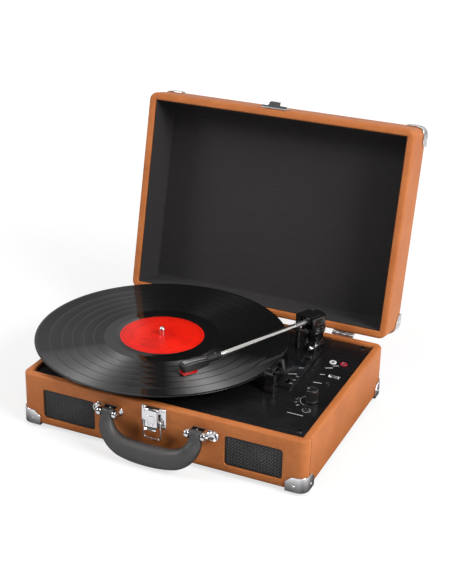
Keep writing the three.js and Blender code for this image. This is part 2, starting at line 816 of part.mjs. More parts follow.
function handleGrip() {
  const mirrored = (points) => points.map(([x, z]) => [-x, z]).reverse();
  const outline = [
    ...GRIP_OUTER.slice(0, -1),
    ...mirrored(GRIP_OUTER),
    ...mirrored(GRIP_INNER).slice(0, -1),
    ...GRIP_INNER,
  ];
  // the front face is shaved back at both ends
  const shave = (rangeX) => box(rangeX, [-10, -5.6], [-60, 20]);
  return join(
    cut(plate(polygon(outline), -6.4, 6.4), shave([40, 70]), shave([-70, -40])),
    rod("x", [-65, 0, 0], 1.7, 24, 12),
    rod("x", [41, 0, 0], 1.7, 24, 12),
  );
}

for (const [side, sign] of SIDES)
  add(player, "handle_bracket_" + side, handleBracket(sign), FINISH.chrome);
const handle = addGroup(player, HANDLE_X, HANDLE_Y, HANDLE_Z);
handle.rotation.x = rad(-HANDLE_TILT);
add(handle, "handle_grip", handleGrip(), FINISH.grip);

// ---------- latch ----------
const LATCH_X = -4.4; // latch's centre line
const LATCH_Y = FRONT - 5; // lever pivot, in front of the face
const LATCH_Z = 57.3;
const BAIL_Z = 45 - LATCH_Z; // bail pivot from the lever's
const BAIL_L = 22.6;
const WIRE_R = 1.05;

function latchPlate() {
  const ear = (x0, x1) =>
    cut(
      box([x0, x1], [LATCH_Y - 2.6, ON_FRONT - 0.8], [LATCH_Z - 4, LATCH_Z + 2.4]),
      rod("x", [x0 - 1, LATCH_Y, LATCH_Z], 1.65, x1 - x0 + 2, 12),
    );
  return join(
    plate(roundRect(30, 25, 1.5, LATCH_X, 47.3), ON_FRONT - 1.2, ON_FRONT, 3),
    ear(LATCH_X - 8.6, LATCH_X - 7.5),
    ear(LATCH_X + 7.5, LATCH_X + 8.6),
  );
}

function latchLever() {
  const width = [-7.2, 7.2];
  return cut(
    join(
      box(width, [-3.4, -1.8], [-21.5, 0.4]),
      rod("x", [-7.2, 0, 0], 2.6, 14.4, 16),
      rod("x", [-8.5, 0, 0], 1.5, 17, 12),
      box(width, [-2.6, 2.4], span(BAIL_Z, 4.4)),
      box(width, [-6.4, -2.2], [-22.8, -21.2]),
    ),
    rod("x", [-12, 0, BAIL_Z], 1.25, 24, 12),
  );
}

// a wire loop hanging from two short pivots
function latchBail() {
  const legX = 10.2;
  return join(
    rod("z", [-legX, 0, -BAIL_L], WIRE_R, BAIL_L, 10),
    rod("z", [legX, 0, -BAIL_L], WIRE_R, BAIL_L, 10),
    rod("x", [-legX, 0, -BAIL_L], WIRE_R, 2 * legX, 10),
    rod("x", [-11.1, 0, -BAIL_L], WIRE_R * 0.9, 22.2, 10),
    rod("x", [-11.1, 0, 0], WIRE_R, 5.5, 10),
    rod("x", [5.6, 0, 0], WIRE_R, 5.5, 10),
  );
}

add(player, "latch_plate", latchPlate(), FINISH.chrome);
const lever = addGroup(player, LATCH_X, LATCH_Y, LATCH_Z);
add(lever, "latch_lever", latchLever(), FINISH.chrome);
const bail = addGroup(lever, 0, 0, BAIL_Z);
add(bail, "latch_bail", latchBail(), FINISH.steel);

// ---------- lid, built closed about the hinge axis ----------
const LID_BOTTOM = BASE_H + SEAM;
const LID_TOP = LID_BOTTOM + LID_H;
const LID_CEILING = LID_TOP - 4; // under the lid panel
const LINING_T = 1.2;

function lidShell() {
  return cut(slab(OUTER, LID_BOTTOM, LID_TOP, 6), slab(INNER, LID_BOTTOM - 5, LID_CEILING, 2));
}

function lidLining() {
  const top = LID_CEILING - GAP;
  const hollow = roundRect(FITTED_W - 2 * LINING_T, FITTED_D - 2 * LINING_T, 0.8);
  return cut(
    slab(roundRect(FITTED_W, FITTED_D, 1.2), LID_BOTTOM + 2.2, top, 2),
    slab(hollow, LID_BOTTOM - 5, top - LINING_T, 2),
  );
}

function lidStrike() {
  const shelfZ = [62.9, 64.4];
  const tongueX = span(LATCH_X, 14.8);
  const tongueY = FRONT - 9.4;
  return join(
    plate(roundRect(32.5, 15.6, 1.5, LATCH_X, 70.7), ON_FRONT - 1.2, ON_FRONT, 3),
    box(span(LATCH_X, 32.4), [FRONT - 5, ON_FRONT], shelfZ),
    // a tongue with an upturned lip, which the bail drops behind
    box(tongueX, [tongueY, ON_FRONT], shelfZ),
    box(tongueX, [tongueY, tongueY + 1], [64, 65.8]),
  );
}

const lid = addGroup(player, 0, HINGE_Y, HINGE_Z);
lid.rotation.x = rad(-LID_OPEN);
const addToLid = (name, body, material) =>
  add(lid, name, body.translate([0, -HINGE_Y, -HINGE_Z]), material);

addToLid("lid_shell", lidShell(), FINISH.tan);
addToLid("lid_lining", lidLining(), FINISH.lining);
for (const [corner, sideX, sideY] of CORNERS) {
  const guard = cornerGuard(sideX, sideY, -1).translate([0, 0, LID_TOP]);
  addToLid("lid_guard_" + corner, guard, FINISH.chrome);
}
addToLid("lid_strike", lidStrike(), FINISH.chrome);
for (const [side, sign] of SIDES)
  addToLid("hinge_lid_leaf_" + side, hingeLeaf(sign * HINGE_X, true), FINISH.steel);

export default player;
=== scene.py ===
import json
import math

import bmesh
import bpy
import numpy as np
from mathutils import Matrix, Vector

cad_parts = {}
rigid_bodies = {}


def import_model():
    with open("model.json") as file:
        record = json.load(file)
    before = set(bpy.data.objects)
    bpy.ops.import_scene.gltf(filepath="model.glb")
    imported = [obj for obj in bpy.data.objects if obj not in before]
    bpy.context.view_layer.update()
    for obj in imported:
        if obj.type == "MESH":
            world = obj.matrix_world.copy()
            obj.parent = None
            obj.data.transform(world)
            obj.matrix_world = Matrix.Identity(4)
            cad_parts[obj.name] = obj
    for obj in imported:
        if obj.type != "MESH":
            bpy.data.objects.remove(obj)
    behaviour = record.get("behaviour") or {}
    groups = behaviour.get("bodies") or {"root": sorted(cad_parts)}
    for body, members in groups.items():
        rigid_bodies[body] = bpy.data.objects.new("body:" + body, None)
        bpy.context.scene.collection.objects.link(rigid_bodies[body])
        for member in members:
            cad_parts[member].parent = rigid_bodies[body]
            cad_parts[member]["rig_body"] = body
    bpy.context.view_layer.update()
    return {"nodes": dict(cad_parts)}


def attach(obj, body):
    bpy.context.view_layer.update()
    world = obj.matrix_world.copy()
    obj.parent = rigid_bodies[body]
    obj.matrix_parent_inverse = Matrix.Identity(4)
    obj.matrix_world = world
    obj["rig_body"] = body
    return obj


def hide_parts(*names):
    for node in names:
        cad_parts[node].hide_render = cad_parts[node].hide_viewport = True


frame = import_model()

# The suitcase record player's looks. Lengths are millimetres in the row frame until an object is made.
W, D, H = 348.0, 255.0, 62.0
FRONT, BACK = -D / 2, D / 2
CASE_R, WALL = 10.0, 9.0
LID0, LID1 = 62.4, 117.5
HINGE_Y, HINGE_Z, OPEN = 131.2, 61.1, 102.3
DECK, PLATEAU = 58.5, 60.7
PLATTER = (-63.8, 7.2)
ARM = (92.5, 102.0)
ARM_Z, SWING, DROOP, HEAD_AT, HEAD_OFF = 89.0, 25.5, 0.88, 168.0, 9.5
rad = math.radians


def T(x=0, y=0, z=0):
    return Matrix.Translation((x, y, z))


def Rot(deg, axis):
    return Matrix.Rotation(rad(deg), 4, axis)


LID = T(0, HINGE_Y, HINGE_Z) @ Rot(-OPEN, "X") @ T(0, -HINGE_Y, -HINGE_Z)
GRIP = T(-2.5, -139.5, 45) @ Rot(-14, "X")
LEVER = T(-4.4, -132.5, 57.3)
BAIL = T(-4.4, -132.5, 45)
ARMX = T(ARM[0], ARM[1], 0) @ Rot(-SWING, "Z")
HEAD_Z = ARM_Z - HEAD_AT * math.tan(rad(DROOP))
HEADX = ARMX @ T(0, -HEAD_AT, HEAD_Z) @ Rot(-HEAD_OFF, "Z")
TUBE = ARMX @ T(0, 0, ARM_Z) @ Rot(DROOP, "X")
CLIP = T(102.4, -35, 84) @ Rot(75, "Y")
CUE = T(103.1, 70.4, 66) @ Rot(-16.5, "Z")


# ------------------------------------------------------------------ materials
class Mat:
    """A principled material whose colour, roughness and relief come from procedural nodes in object space."""

    def __init__(self, name, **inputs):
        self.m = bpy.data.materials.new(name)
        self.m.use_nodes = True
        self.t = self.m.node_tree
        self.t.nodes.clear()
        out = self.t.nodes.new("ShaderNodeOutputMaterial")
        self.b = self.t.nodes.new("ShaderNodeBsdfPrincipled")
        self.t.links.new(self.b.outputs[0], out.inputs[0])
        self.co = self.t.nodes.new("ShaderNodeTexCoord").outputs["Object"]
        for k, v in inputs.items():
            self.set(k.replace("_", " "), v)

    def put(self, sock, v):
        if isinstance(v, bpy.types.NodeSocket):
            self.t.links.new(v, sock)
        elif isinstance(v, (tuple, list)) and len(v) == 3 and sock.type == "RGBA":
            sock.default_value = (*v, 1)
        else:
            sock.default_value = v

    def set(self, name, v):
        self.put(self.b.inputs[name], v)

    def add(self, kind, props=None, **inputs):
        n = self.t.nodes.new(kind)
        for k, v in (props or {}).items():
            setattr(n, k, v)
        for k, v in inputs.items():
            self.put(n.inputs[k.replace("_", " ")], v)
        return n

    def noise(self, scale, detail=3, rough=0.5, vec=None, distort=0.0):
        return self.add("ShaderNodeTexNoise", None, Vector=vec or self.co, Scale=scale, Detail=detail,
                        Roughness=rough, Distortion=distort).outputs[0]

    def voronoi(self, scale, feature="F1", random=1.0, vec=None):
        return self.add("ShaderNodeTexVoronoi", {"feature": feature}, Vector=vec or self.co, Scale=scale,
                        Randomness=random).outputs["Distance"]

    def remap(self, v, lo, hi, a, b):
        n = self.add("ShaderNodeMapRange")
        for i, x in enumerate((v, lo, hi, a, b)):
            self.put(n.inputs[i], x)
        return n.outputs[0]

    def math(self, op, a, b=0.0):
        n = self.add("ShaderNodeMath", {"operation": op})
        self.put(n.inputs[0], a)
        self.put(n.inputs[1], b)
        return n.outputs[0]

    def mix(self, f, a, b):
        n = self.add("ShaderNodeMix", {"data_type": "RGBA"})
        self.put(n.inputs[0], f)
        self.put(n.inputs[6], a)
        self.put(n.inputs[7], b)
        return n.outputs[2]

    def stretch(self, sx, sy, sz, rx=0, ry=0, rz=0):
        return self.add("ShaderNodeMapping", None, Vector=self.co, Scale=(sx, sy, sz),
                        Rotation=(rad(rx), rad(ry), rad(rz))).outputs[0]

    def xyz(self, vec=None):
        return self.add("ShaderNodeSeparateXYZ", None, Vector=vec or self.co).outputs

    def relief(self, *layers):
        """layers of (height, depth in metres); they stack into one normal"""
        normal = None
        for h, depth in layers:
            n = self.add("ShaderNodeBump", None, Height=h, Distance=depth, Strength=1.0)
            if normal is not None:
                self.put(n.inputs["Normal"], normal)
            normal = n.outputs[0]
        self.set("Normal", normal)


def leather(name, dark, light, grain=1100, depth=0.00011, rough=(0.40, 0.56), coat=0.08, wear=None, shine=0.3):
    m = Mat(name, Coat_Weight=coat, Coat_Roughness=0.35, Specular_IOR_Level=shine)
    cloud = m.noise(22, 4, 0.55)
    warp = m.add("ShaderNodeVectorMath", {"operation": "ADD"})
    m.put(warp.inputs[0], m.co)
    m.put(warp.inputs[1], m.add("ShaderNodeVectorMath", {"operation": "SCALE"},
                                **{"Vector": m.add("ShaderNodeTexNoise", None, Vector=m.co, Scale=420, Detail=2).outputs[1],
                                   "Scale": 0.0007}).outputs[0])
    cell = m.voronoi(grain, "DISTANCE_TO_EDGE", 1.0, warp.outputs[0])
    pebble = m.remap(cell, 0.0, 0.22, 0.0, 1.0)
    small = m.voronoi(grain * 2.3, "F1", 1.0, warp.outputs[0])
    fine = m.noise(grain * 3.2, 2, 0.6)
    folds = m.noise(95, 5, 0.62, None, 0.6)
    tone = m.math("ADD", m.math("MULTIPLY", cloud, 0.6), m.math("MULTIPLY", folds, 0.4))
    col = m.mix(m.remap(tone, 0.34, 0.66, 0.0, 1.0), dark, light)
    col = m.mix(m.remap(pebble, 0.0, 0.5, 0.34, 0.0), col, tuple(c * 0.62 for c in dark))
    if wear:
        geo = m.add("ShaderNodeNewGeometry").outputs["Pointiness"]
        edge = m.math("MULTIPLY", m.remap(geo, 0.53, 0.62, 0.0, 1.0), m.remap(m.noise(60, 4), 0.4, 0.62, 0.15, 1.0))
        col = m.mix(m.math("MULTIPLY", edge, 0.35), col, wear)
    m.set("Base Color", col)
    m.set("Roughness", m.remap(m.math("ADD", m.math("MULTIPLY", folds, 0.5), m.math("MULTIPLY", fine, 0.5)),
                               0.3, 0.7, rough[0], rough[1]))
    m.relief((folds, depth * 2.2), (pebble, depth), (small, depth * 0.35), (fine, depth * 0.22))
    return m.m


def plastic(name, color, rough=0.38, grain=2600, depth=0.00002, coat=0.0, haze=0.08, speck=0.25):
    """a moulded plastic: fine die texture, a little haze and faint wiping marks"""
    m = Mat(name, Coat_Weight=coat, Coat_Roughness=0.12)
    big = m.noise(35, 4, 0.6)
    fine = m.noise(grain, 3, 0.65)
    wipe = m.noise(1.0, 4, 0.6, m.stretch(30, 260, 120, 0, 0, 24))
    m.set("Base Color", m.mix(m.remap(m.math("ADD", m.math("MULTIPLY", big, 0.6), m.math("MULTIPLY", fine, 0.4)), 0.35, 0.65, 0, 1),
                              tuple(c * (1 - speck) for c in color), tuple(min(1, c * (1 + speck)) for c in color)))
    m.set("Roughness", m.remap(m.math("ADD", m.math("MULTIPLY", big, 0.5), m.math("MULTIPLY", wipe, 0.5)), 0.3, 0.7,
                               max(0.03, rough - haze), rough + haze))
    m.relief((m.noise(160, 3), depth * 1.5), (fine, depth))
    return m.m


def metal(name, color, rough=0.1, brush=None, haze=0.05, dents=0.00003, tint=None):
    m = Mat(name, Metallic=1.0)
    big = m.noise(70, 4, 0.6)
    smear = m.noise(1.0, 5, 0.7, m.stretch(*(brush or (500, 90, 900))))
    m.set("Base Color", m.mix(m.remap(big, 0.35, 0.7, 0, 1), color, tint or tuple(c * 0.93 for c in color)))
    m.set("Roughness", m.remap(m.math("ADD", m.math("MULTIPLY", big, 0.5), m.math("MULTIPLY", smear, 0.5)), 0.3, 0.7,
                               max(0.02, rough - haze), rough + haze))
    m.relief((m.noise(120, 2), dents), (smear, 0.000012 if brush else 0.000003))
    return m.m


def cloth(name, dark, light, pitch_mm=0.7, depth=0.00012, rough=0.92, sheen=0.25, rz=0.0):
    """a plain weave drawn by crossing waves, with slubs and lint"""
    m = Mat(name, Sheen_Weight=sheen, Sheen_Roughness=0.5)
    f = 1000.0 / pitch_mm * 2 * math.pi / 2
    x, y, z = m.xyz(m.stretch(1, 1, 1, 0, 0, rz))
    h = m.math("MULTIPLY", m.math("SINE", m.math("MULTIPLY", x, f)), m.math("SINE", m.math("MULTIPLY", m.math("ADD", y, z), f)))
    lint = m.noise(900, 4, 0.7)
    slub = m.noise(1.0, 3, 0.6, m.stretch(60, 900, 900))
    tone = m.math("ADD", m.math("MULTIPLY", h, 0.25), m.math("ADD", m.math("MULTIPLY", lint, 0.5), m.math("MULTIPLY", slub, 0.5)))
    m.set("Base Color", m.mix(m.remap(tone, 0.25, 0.85, 0, 1), dark, light))
    m.set("Roughness", m.remap(lint, 0.3, 0.7, rough - 0.06, min(1, rough + 0.05)))
    m.relief((m.noise(45, 3), depth * 2.5), (h, depth * 0.6), (lint, depth * 0.7))
    return m.m


def rubber(name, color, rough=0.75):
    m = Mat(name)
    dust = m.noise(180, 5, 0.65)
    fine = m.noise(2200, 3, 0.6)
    m.set("Base Color", m.mix(m.remap(dust, 0.45, 0.7, 0, 0.5), color, tuple(c * 1.9 + 0.01 for c in color)))
    m.set("Roughness", m.remap(dust, 0.3, 0.7, rough - 0.1, rough + 0.1))
    m.relief((m.noise(300, 3), 0.00003), (fine, 0.00003))
    return m.m


def vinyl(name, centre):
    """pressed record vinyl: smooth lands that mirror the room over rings of fine grooves that spread the light along the radius"""
    m = Mat(name, Coat_Weight=0.4, Coat_Roughness=0.03)
    x, y, _ = m.xyz()
    dx, dy = m.math("SUBTRACT", x, centre[0] / 1000), m.math("SUBTRACT", y, centre[1] / 1000)
    r = m.math("SQRT", m.math("ADD", m.math("MULTIPLY", dx, dx), m.math("MULTIPLY", dy, dy)))
    vec = m.add("ShaderNodeCombineXYZ", None, X=m.math("MULTIPLY", r, 1.0)).outputs[0]
    loud = m.noise(520, 5, 0.75, vec)
    wide = m.noise(110, 3, 0.6, vec)
    grooved = m.math("MULTIPLY", m.math("GREATER_THAN", r, 0.0690), m.math("LESS_THAN", r, 0.1475))
    for gap in (0.0815, 0.0935, 0.1065, 0.1185, 0.1330):
        grooved = m.math("MULTIPLY", grooved, m.math("GREATER_THAN", m.math("ABSOLUTE", m.math("SUBTRACT", r, gap)), 0.00055))
    m.set("Base Color", (0.0045, 0.0043, 0.0045))
    m.set("Roughness", m.math("ADD", 0.10, m.math("MULTIPLY", grooved, m.remap(m.math("ADD", loud, wide), 0.7, 1.3, 0.42, 0.60))))
    m.set("Anisotropic", m.math("MULTIPLY", grooved, 0.92))
    # painted highlight: the specular level is raised in two fixed sectors in front of the spindle, where the groove
    # walls would catch the two lamps, and kept low between them and behind it
    painted_highlight_fans = [m.remap(m.math("ADD", m.math("MULTIPLY", m.math("DIVIDE", dx, r), ax), m.math("MULTIPLY", m.math("DIVIDE", dy, r), ay)), lo, hi, 0, 1)
            for ax, ay, lo, hi in ((-0.309, -0.951, 0.88, 0.99), (0.866, -0.500, 0.85, 0.98))]
    m.set("Specular IOR Level", m.remap(m.math("MULTIPLY", grooved, m.math("MAXIMUM", *painted_highlight_fans)), 0, 1, 0.14, 1.7))
    m.set("Anisotropic Rotation", VINYL_TURN)
    tan = m.add("ShaderNodeTangent", {"direction_type": "RADIAL", "axis": "Z"})
    m.set("Tangent", tan.outputs[0])
    m.relief((m.math("MULTIPLY", grooved, loud), 0.00002))
    return m.m


VINYL_TURN = 0.25
TAN_D, TAN_L = (0.45, 0.130, 0.030), (0.57, 0.186, 0.050)
MAT = {
    "tan": leather("leatherette_tan", TAN_D, TAN_L, wear=(0.66, 0.30, 0.12), coat=0.04),
    "lining": cloth("lining_cloth", (0.013, 0.0115, 0.012), (0.034, 0.030, 0.031), 0.8, 0.0001, 0.95, 0.0),
    "board": plastic("fibre_board", (0.028, 0.022, 0.018), 0.8, 900, 0.00008, 0, 0.08, 0.4),
    "deck": plastic("deck_black", (0.0062, 0.0062, 0.0070), 0.25, 2400, 0.000022, 0, 0.07, 0.2),
    "satin": plastic("satin_black", (0.0095, 0.0095, 0.010), 0.30, 2600, 0.000012, 0.15, 0.07, 0.2),
    "gloss": plastic("gloss_black", (0.006, 0.006, 0.0065), 0.12, 1800, 0.000004, 0.5, 0.05, 0.15),
    "panel": plastic("panel_film", (0.006, 0.0068, 0.0095), 0.13, 2200, 0.000004, 0.4, 0.05, 0.15),
    "cloth": plastic("speaker_strand", (0.050, 0.050, 0.052), 0.42, 1500, 0.00003, 0, 0.08, 0.35),
    # painted shade: the near-black sheet behind the speaker grilles
    "shade_sheet": rubber("speaker_shade_sheet", (0.006, 0.006, 0.006), 0.9),
    "grip": leather("handle_vinyl", (0.013, 0.012, 0.0115), (0.030, 0.0275, 0.026), 1300, 0.00012, (0.36, 0.48), 0.2, (0.075, 0.068, 0.063), 0.9),
    "chrome": metal("chrome_plate", (0.80, 0.80, 0.815), 0.06, None, 0.035, 0.00005),
    "steel": metal("zinc_steel", (0.64, 0.64, 0.65), 0.27, (300, 1600, 300), 0.08, 0.00003),
    "alu": metal("tube_aluminium", (0.93, 0.92, 0.90), 0.13, (1500, 80, 1500), 0.05, 0.00001),
    "sleeve": metal("sleeve_grey", (0.46, 0.46, 0.47), 0.34, (1500, 80, 1500), 0.06, 0.00001),
    "rubber": rubber("foot_rubber", (0.012, 0.012, 0.012)),
    "felt": cloth("felt_charcoal", (0.010, 0.010, 0.011), (0.035, 0.035, 0.037), 0.45, 0.0002, 0.97, 0.5),
    "red": plastic("stylus_red", (0.50, 0.004, 0.004), 0.16, 1500, 0.000006, 0.3, 0.05, 0.12),
    "white": plastic("socket_white", (0.80, 0.80, 0.78), 0.30, 1500, 0.000006, 0.2, 0.05, 0.05),
    "redring": plastic("socket_red", (0.46, 0.010, 0.030), 0.30, 1500, 0.000006, 0.2, 0.05, 0.1),
    "black_steel": metal("blackened_steel", (0.045, 0.045, 0.048), 0.3, None, 0.06, 0.00003),
    "raised": plastic("cover_black", (0.0060, 0.0060, 0.0065), 0.15, 2000, 0.000012, 0.3, 0.06, 0.15),
    "print": plastic("print_white", (0.62, 0.62, 0.62), 0.55, 2500, 0.00001, 0, 0.05, 0.12),
    "pcb": plastic("board_green", (0.012, 0.10, 0.035), 0.35, 700, 0.00004, 0.2, 0.06, 0.25),
    "cone": rubber("cone_paper", (0.02, 0.02, 0.02), 0.85),
}
MAT["vinyl"] = vinyl("record_vinyl", PLATTER)


def label_paper():
    m = Mat("record_label", Roughness=0.42, Specular_IOR_Level=0.2)
    fibre = m.noise(1400, 4, 0.7)
    m.set("Base Color", m.mix(m.remap(m.noise(40, 3), 0.35, 0.65, 0, 1), (0.66, 0.006, 0.001), (0.80, 0.012, 0.002)))
    m.relief((fibre, 0.00002))
    return m.m


MAT["label"] = label_paper()
MAT["labelink"] = plastic("label_ink", (0.10, 0.002, 0.002), 0.5, 2500, 0.00001, 0, 0.05, 0.1)

# ------------------------------------------------------------------ geometry
def bm_arrays(verts, faces):
    bm = bmesh.new()
    vs = [bm.verts.new(tuple(map(float, v))) for v in verts]
    for f in faces:
        if len(set(f)) >= 3:
            try:
                bm.faces.new([vs[i] for i in f])
            except ValueError:
                pass
    return bm


def clean(bm, dist=1e-3):
    bmesh.ops.remove_doubles(bm, verts=bm.verts[:], dist=dist)
    bmesh.ops.dissolve_degenerate(bm, edges=bm.edges[:], dist=1e-5)
    bmesh.ops.recalc_face_normals(bm, faces=bm.faces[:])
    return bm


def soften(bm, r, seg=2, angle=28.0, keep=None):
    """rounds every edge sharper than angle"""
    if r <= 0:
        return bm
    edges = [e for e in bm.edges if len(e.link_faces) == 2 and e.calc_face_angle(0) > rad(angle) and (keep is None or keep(e))]
    if edges:
        bmesh.ops.bevel(bm, geom=edges, offset=r, segments=seg, profile=0.5, affect="EDGES", clamp_overlap=True)
    return bm


def lathe(profile, seg=64, closed=False, phase=0.0):
    """profile of (r, z), turned about Z. It starts and ends on the axis, or is a closed loop."""
    verts, faces, rings = [], [], []
    for r, z in profile:
        if r < 1e-6:
            rings.append([len(verts)])
            verts.append((0, 0, z))
        else:
            rings.append(list(range(len(verts), len(verts) + seg)))
            verts += [(r * math.cos(phase + 2 * math.pi * i / seg), r * math.sin(phase + 2 * math.pi * i / seg), z) for i in range(seg)]
    pairs = list(zip(rings, rings[1:] + ([rings[0]] if closed else [])))
    for a, b in pairs if closed else pairs[: len(rings) - 1]:
        for i in range(seg):
            j = (i + 1) % seg
            if len(a) == 1 and len(b) == 1:
                continue
            if len(a) == 1:
                faces.append((a[0], b[i], b[j]))
            elif len(b) == 1:
                faces.append((a[i], a[j], b[0]))
            else:
                faces.append((a[i], a[j], b[j], b[i]))
    return clean(bm_arrays(verts, faces), 1e-5)


def arc(cx, cy, r, a0, a1, n):
    return [(cx + r * math.cos(rad(a0 + (a1 - a0) * i / n)), cy + r * math.sin(rad(a0 + (a1 - a0) * i / n))) for i in range(n + 1)]


def rod(r, length, seg=32, round_=0.3, axis="Z", at=(0, 0, 0), r2=None):
    r2 = r if r2 is None else r2
    e = min(round_, r * 0.5, length * 0.45)
    e2 = min(round_, r2 * 0.5, length * 0.45)
    prof = [(0, 0)] + arc(r - e, e, e, -90, 0, 3) + arc(r2 - e2, length - e2, e2, 0, 90, 3) + [(0, length)]
    bm = lathe(prof, seg)
    if axis == "X":
        bm.transform(Rot(90, "Y"))
    if axis == "Y":
        bm.transform(Rot(-90, "X"))
    bm.transform(T(*at))
    return bm


def rbox(x0, x1, y0, y1, z0, z1, r=0.4, seg=3):
    bm = bmesh.new()
    bmesh.ops.create_cube(bm, size=1)
    for v in bm.verts:
        v.co = Vector(((x0 + x1) / 2 + v.co.x * (x1 - x0), (y0 + y1) / 2 + v.co.y * (y1 - y0), (z0 + z1) / 2 + v.co.z * (z1 - z0)))
    if r > 0:
        bmesh.ops.bevel(bm, geom=bm.edges[:], offset=r, segments=seg, profile=0.5, affect="EDGES", clamp_overlap=True)
    bmesh.ops.recalc_face_normals(bm, faces=bm.faces[:])
    return bm


def prism(points, a, b, plane="XY", r=0.0, seg=2, angle=40):
    """a plan outline given thickness from a to b along the plane's normal; its sharp edges are rounded by r"""
    n = len(points)
    put = {"XY": lambda p, q, w: (p, q, w), "XZ": lambda p, q, w: (p, w, q), "YZ": lambda p, q, w: (w, p, q)}[plane]
    verts = [put(p, q, a) for p, q in points] + [put(p, q, b) for p, q in points]
    faces = [tuple(range(n)), tuple(range(2 * n - 1, n - 1, -1))] + [(i, (i + 1) % n, n + (i + 1) % n, n + i) for i in range(n)]
    bm = clean(bm_arrays(verts, faces), 1e-5)
    return soften(bm, r, seg, angle)


def rrect(w, h, r, cx=0.0, cy=0.0, seg=6):
    pts = []
    for x, y, a in ((w / 2 - r, h / 2 - r, 0), (-w / 2 + r, h / 2 - r, 90), (-w / 2 + r, -h / 2 + r, 180), (w / 2 - r, -h / 2 + r, 270)):
        pts += [(cx + p, cy + q) for p, q in arc(x, y, r, a, a + 90, seg)]
    return pts


def spline(points, n):
    """Catmull-Rom through points, n samples a span"""
    p = np.array(points, float)
    q = np.vstack([2 * p[0] - p[1], p, 2 * p[-1] - p[-2]])
    out = []
    for i in range(1, len(q) - 2):
        for k in range(n):
            t = k / n
            out.append(0.5 * ((2 * q[i]) + (-q[i - 1] + q[i + 1]) * t + (2 * q[i - 1] - 5 * q[i] + 4 * q[i + 1] - q[i + 2]) * t * t
                              + (-q[i - 1] + 3 * q[i] - 3 * q[i + 1] + q[i + 2]) * t ** 3))
    out.append(p[-1])
    return np.array(out)


def tube(path, r, seg=12, closed=False, cap=True, flat=1.0, up=(0, 0, 1)):
    """a round (or flattened) wire along a path"""
    p = np.array(path, float)
    n = len(p)
    radii = np.full(n, float(r)) if np.isscalar(r) else np.array(r, float)
    tan = (np.roll(p, -1, 0) - np.roll(p, 1, 0)) if closed else np.gradient(p, axis=0)
    tan /= np.linalg.norm(tan, axis=1)[:, None]
    u = np.cross(tan[0], np.array(up, float))
    if np.linalg.norm(u) < 1e-3:
        u = np.cross(tan[0], (1.0, 0.2, 0.1))
    u /= np.linalg.norm(u)
    verts, faces = [], []
    for i in range(n):
        u = u - tan[i] * (u @ tan[i])
        u /= np.linalg.norm(u)
        v = np.cross(tan[i], u)
        for k in range(seg):
            a = 2 * math.pi * k / seg
            verts.append(p[i] + radii[i] * (math.cos(a) * u + flat * math.sin(a) * v))
    for i in range(n if closed else n - 1):
        j = (i + 1) % n
        for k in range(seg):
            l = (k + 1) % seg
            faces.append((i * seg + k, i * seg + l, j * seg + l, j * seg + k))
    if not closed and cap:
        faces.append(tuple(range(seg - 1, -1, -1)))
        faces.append(tuple((n - 1) * seg + k for k in range(seg)))
    return clean(bm_arrays(verts, faces), 1e-6)


def loft(rings, cap=True, loop=False):
    """rings of equal point counts, joined in order"""
    m = len(rings[0])
    verts = [v for ring in rings for v in ring]
    faces = []
    n = len(rings)
    for i in range(n if loop else n - 1):
        j = (i + 1) % n
        for k in range(m):
            l = (k + 1) % m
            faces.append((i * m + k, i * m + l, j * m + l, j * m + k))
    if cap and not loop:
        faces.append(tuple(range(m - 1, -1, -1)))
        faces.append(tuple((n - 1) * m + k for k in range(m)))
    return clean(bm_arrays(verts, faces), 1e-5)


def to_mesh(bm, name):
    me = bpy.data.meshes.new(name)
    bm.to_mesh(me)
    bm.free()
    return me


def merged(*bms):
    """several closed solids made one by a boolean union"""
    return boolean(bms[0], list(bms[1:]), "UNION")


def boolean(base, others, op):
    sc = bpy.context.scene.collection
    a = bpy.data.objects.new("tmp_a", to_mesh(base, "tmp_a"))
    sc.objects.link(a)
    made = []
    for i, bm in enumerate(others):
        o = bpy.data.objects.new("tmp_b%d" % i, to_mesh(bm, "tmp_b"))
        sc.objects.link(o)
        made.append(o)
        mod = a.modifiers.new("b", "BOOLEAN")
        mod.operation, mod.object, mod.solver = op, o, "MANIFOLD"
    dg = bpy.context.evaluated_depsgraph_get()
    dg.update()
    me = bpy.data.meshes.new_from_object(a.evaluated_get(dg), depsgraph=dg)
    bm = bmesh.new()
    bm.from_mesh(me)
    for o in made + [a]:
        data = o.data
        bpy.data.objects.remove(o)
        bpy.data.meshes.remove(data)
    bpy.data.meshes.remove(me)
    if not bm.faces:
        raise RuntimeError("a boolean came out empty")
    bmesh.ops.dissolve_limit(bm, angle_limit=rad(0.4), verts=bm.verts[:], edges=bm.edges[:], delimit={"NORMAL"})
    return clean(bm)


def piece(name, bm, mat, body, replaces=(), xf=None, angle=38.0):
    if xf is not None:
        bm.transform(xf)
    bmesh.ops.recalc_face_normals(bm, faces=bm.faces[:])
    bm.transform(Matrix.Scale(0.001, 4))
    me = to_mesh(bm, name)
    me.materials.append(MAT[mat] if isinstance(mat, str) else mat)
    me.polygons.foreach_set("use_smooth", [True] * len(me.polygons))
    me.set_sharp_from_angle(angle=rad(angle))
    o = bpy.data.objects.new(name, me)
    bpy.context.scene.collection.objects.link(o)
    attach(o, body)
    if replaces:
        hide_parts(*((replaces,) if isinstance(replaces, str) else replaces))
    return o


def refined(node, mat, r=0.4, seg=2, angle=32.0, name=None, weld=0.004):
    """a piece with the CAD node's own form and rounded edges"""
    src = frame["nodes"][node]
    bm = bmesh.new()
    bm.from_mesh(src.data)
    bm.transform(Matrix.Scale(1000, 4))
    bmesh.ops.remove_doubles(bm, verts=bm.verts[:], dist=weld)
    bmesh.ops.dissolve_limit(bm, angle_limit=rad(0.6), verts=bm.verts[:], edges=bm.edges[:])
    soften(bm, r, seg, angle)
    clean(bm, 1e-4)
    return piece(name or node + "_skin", bm, mat, src["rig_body"], node)

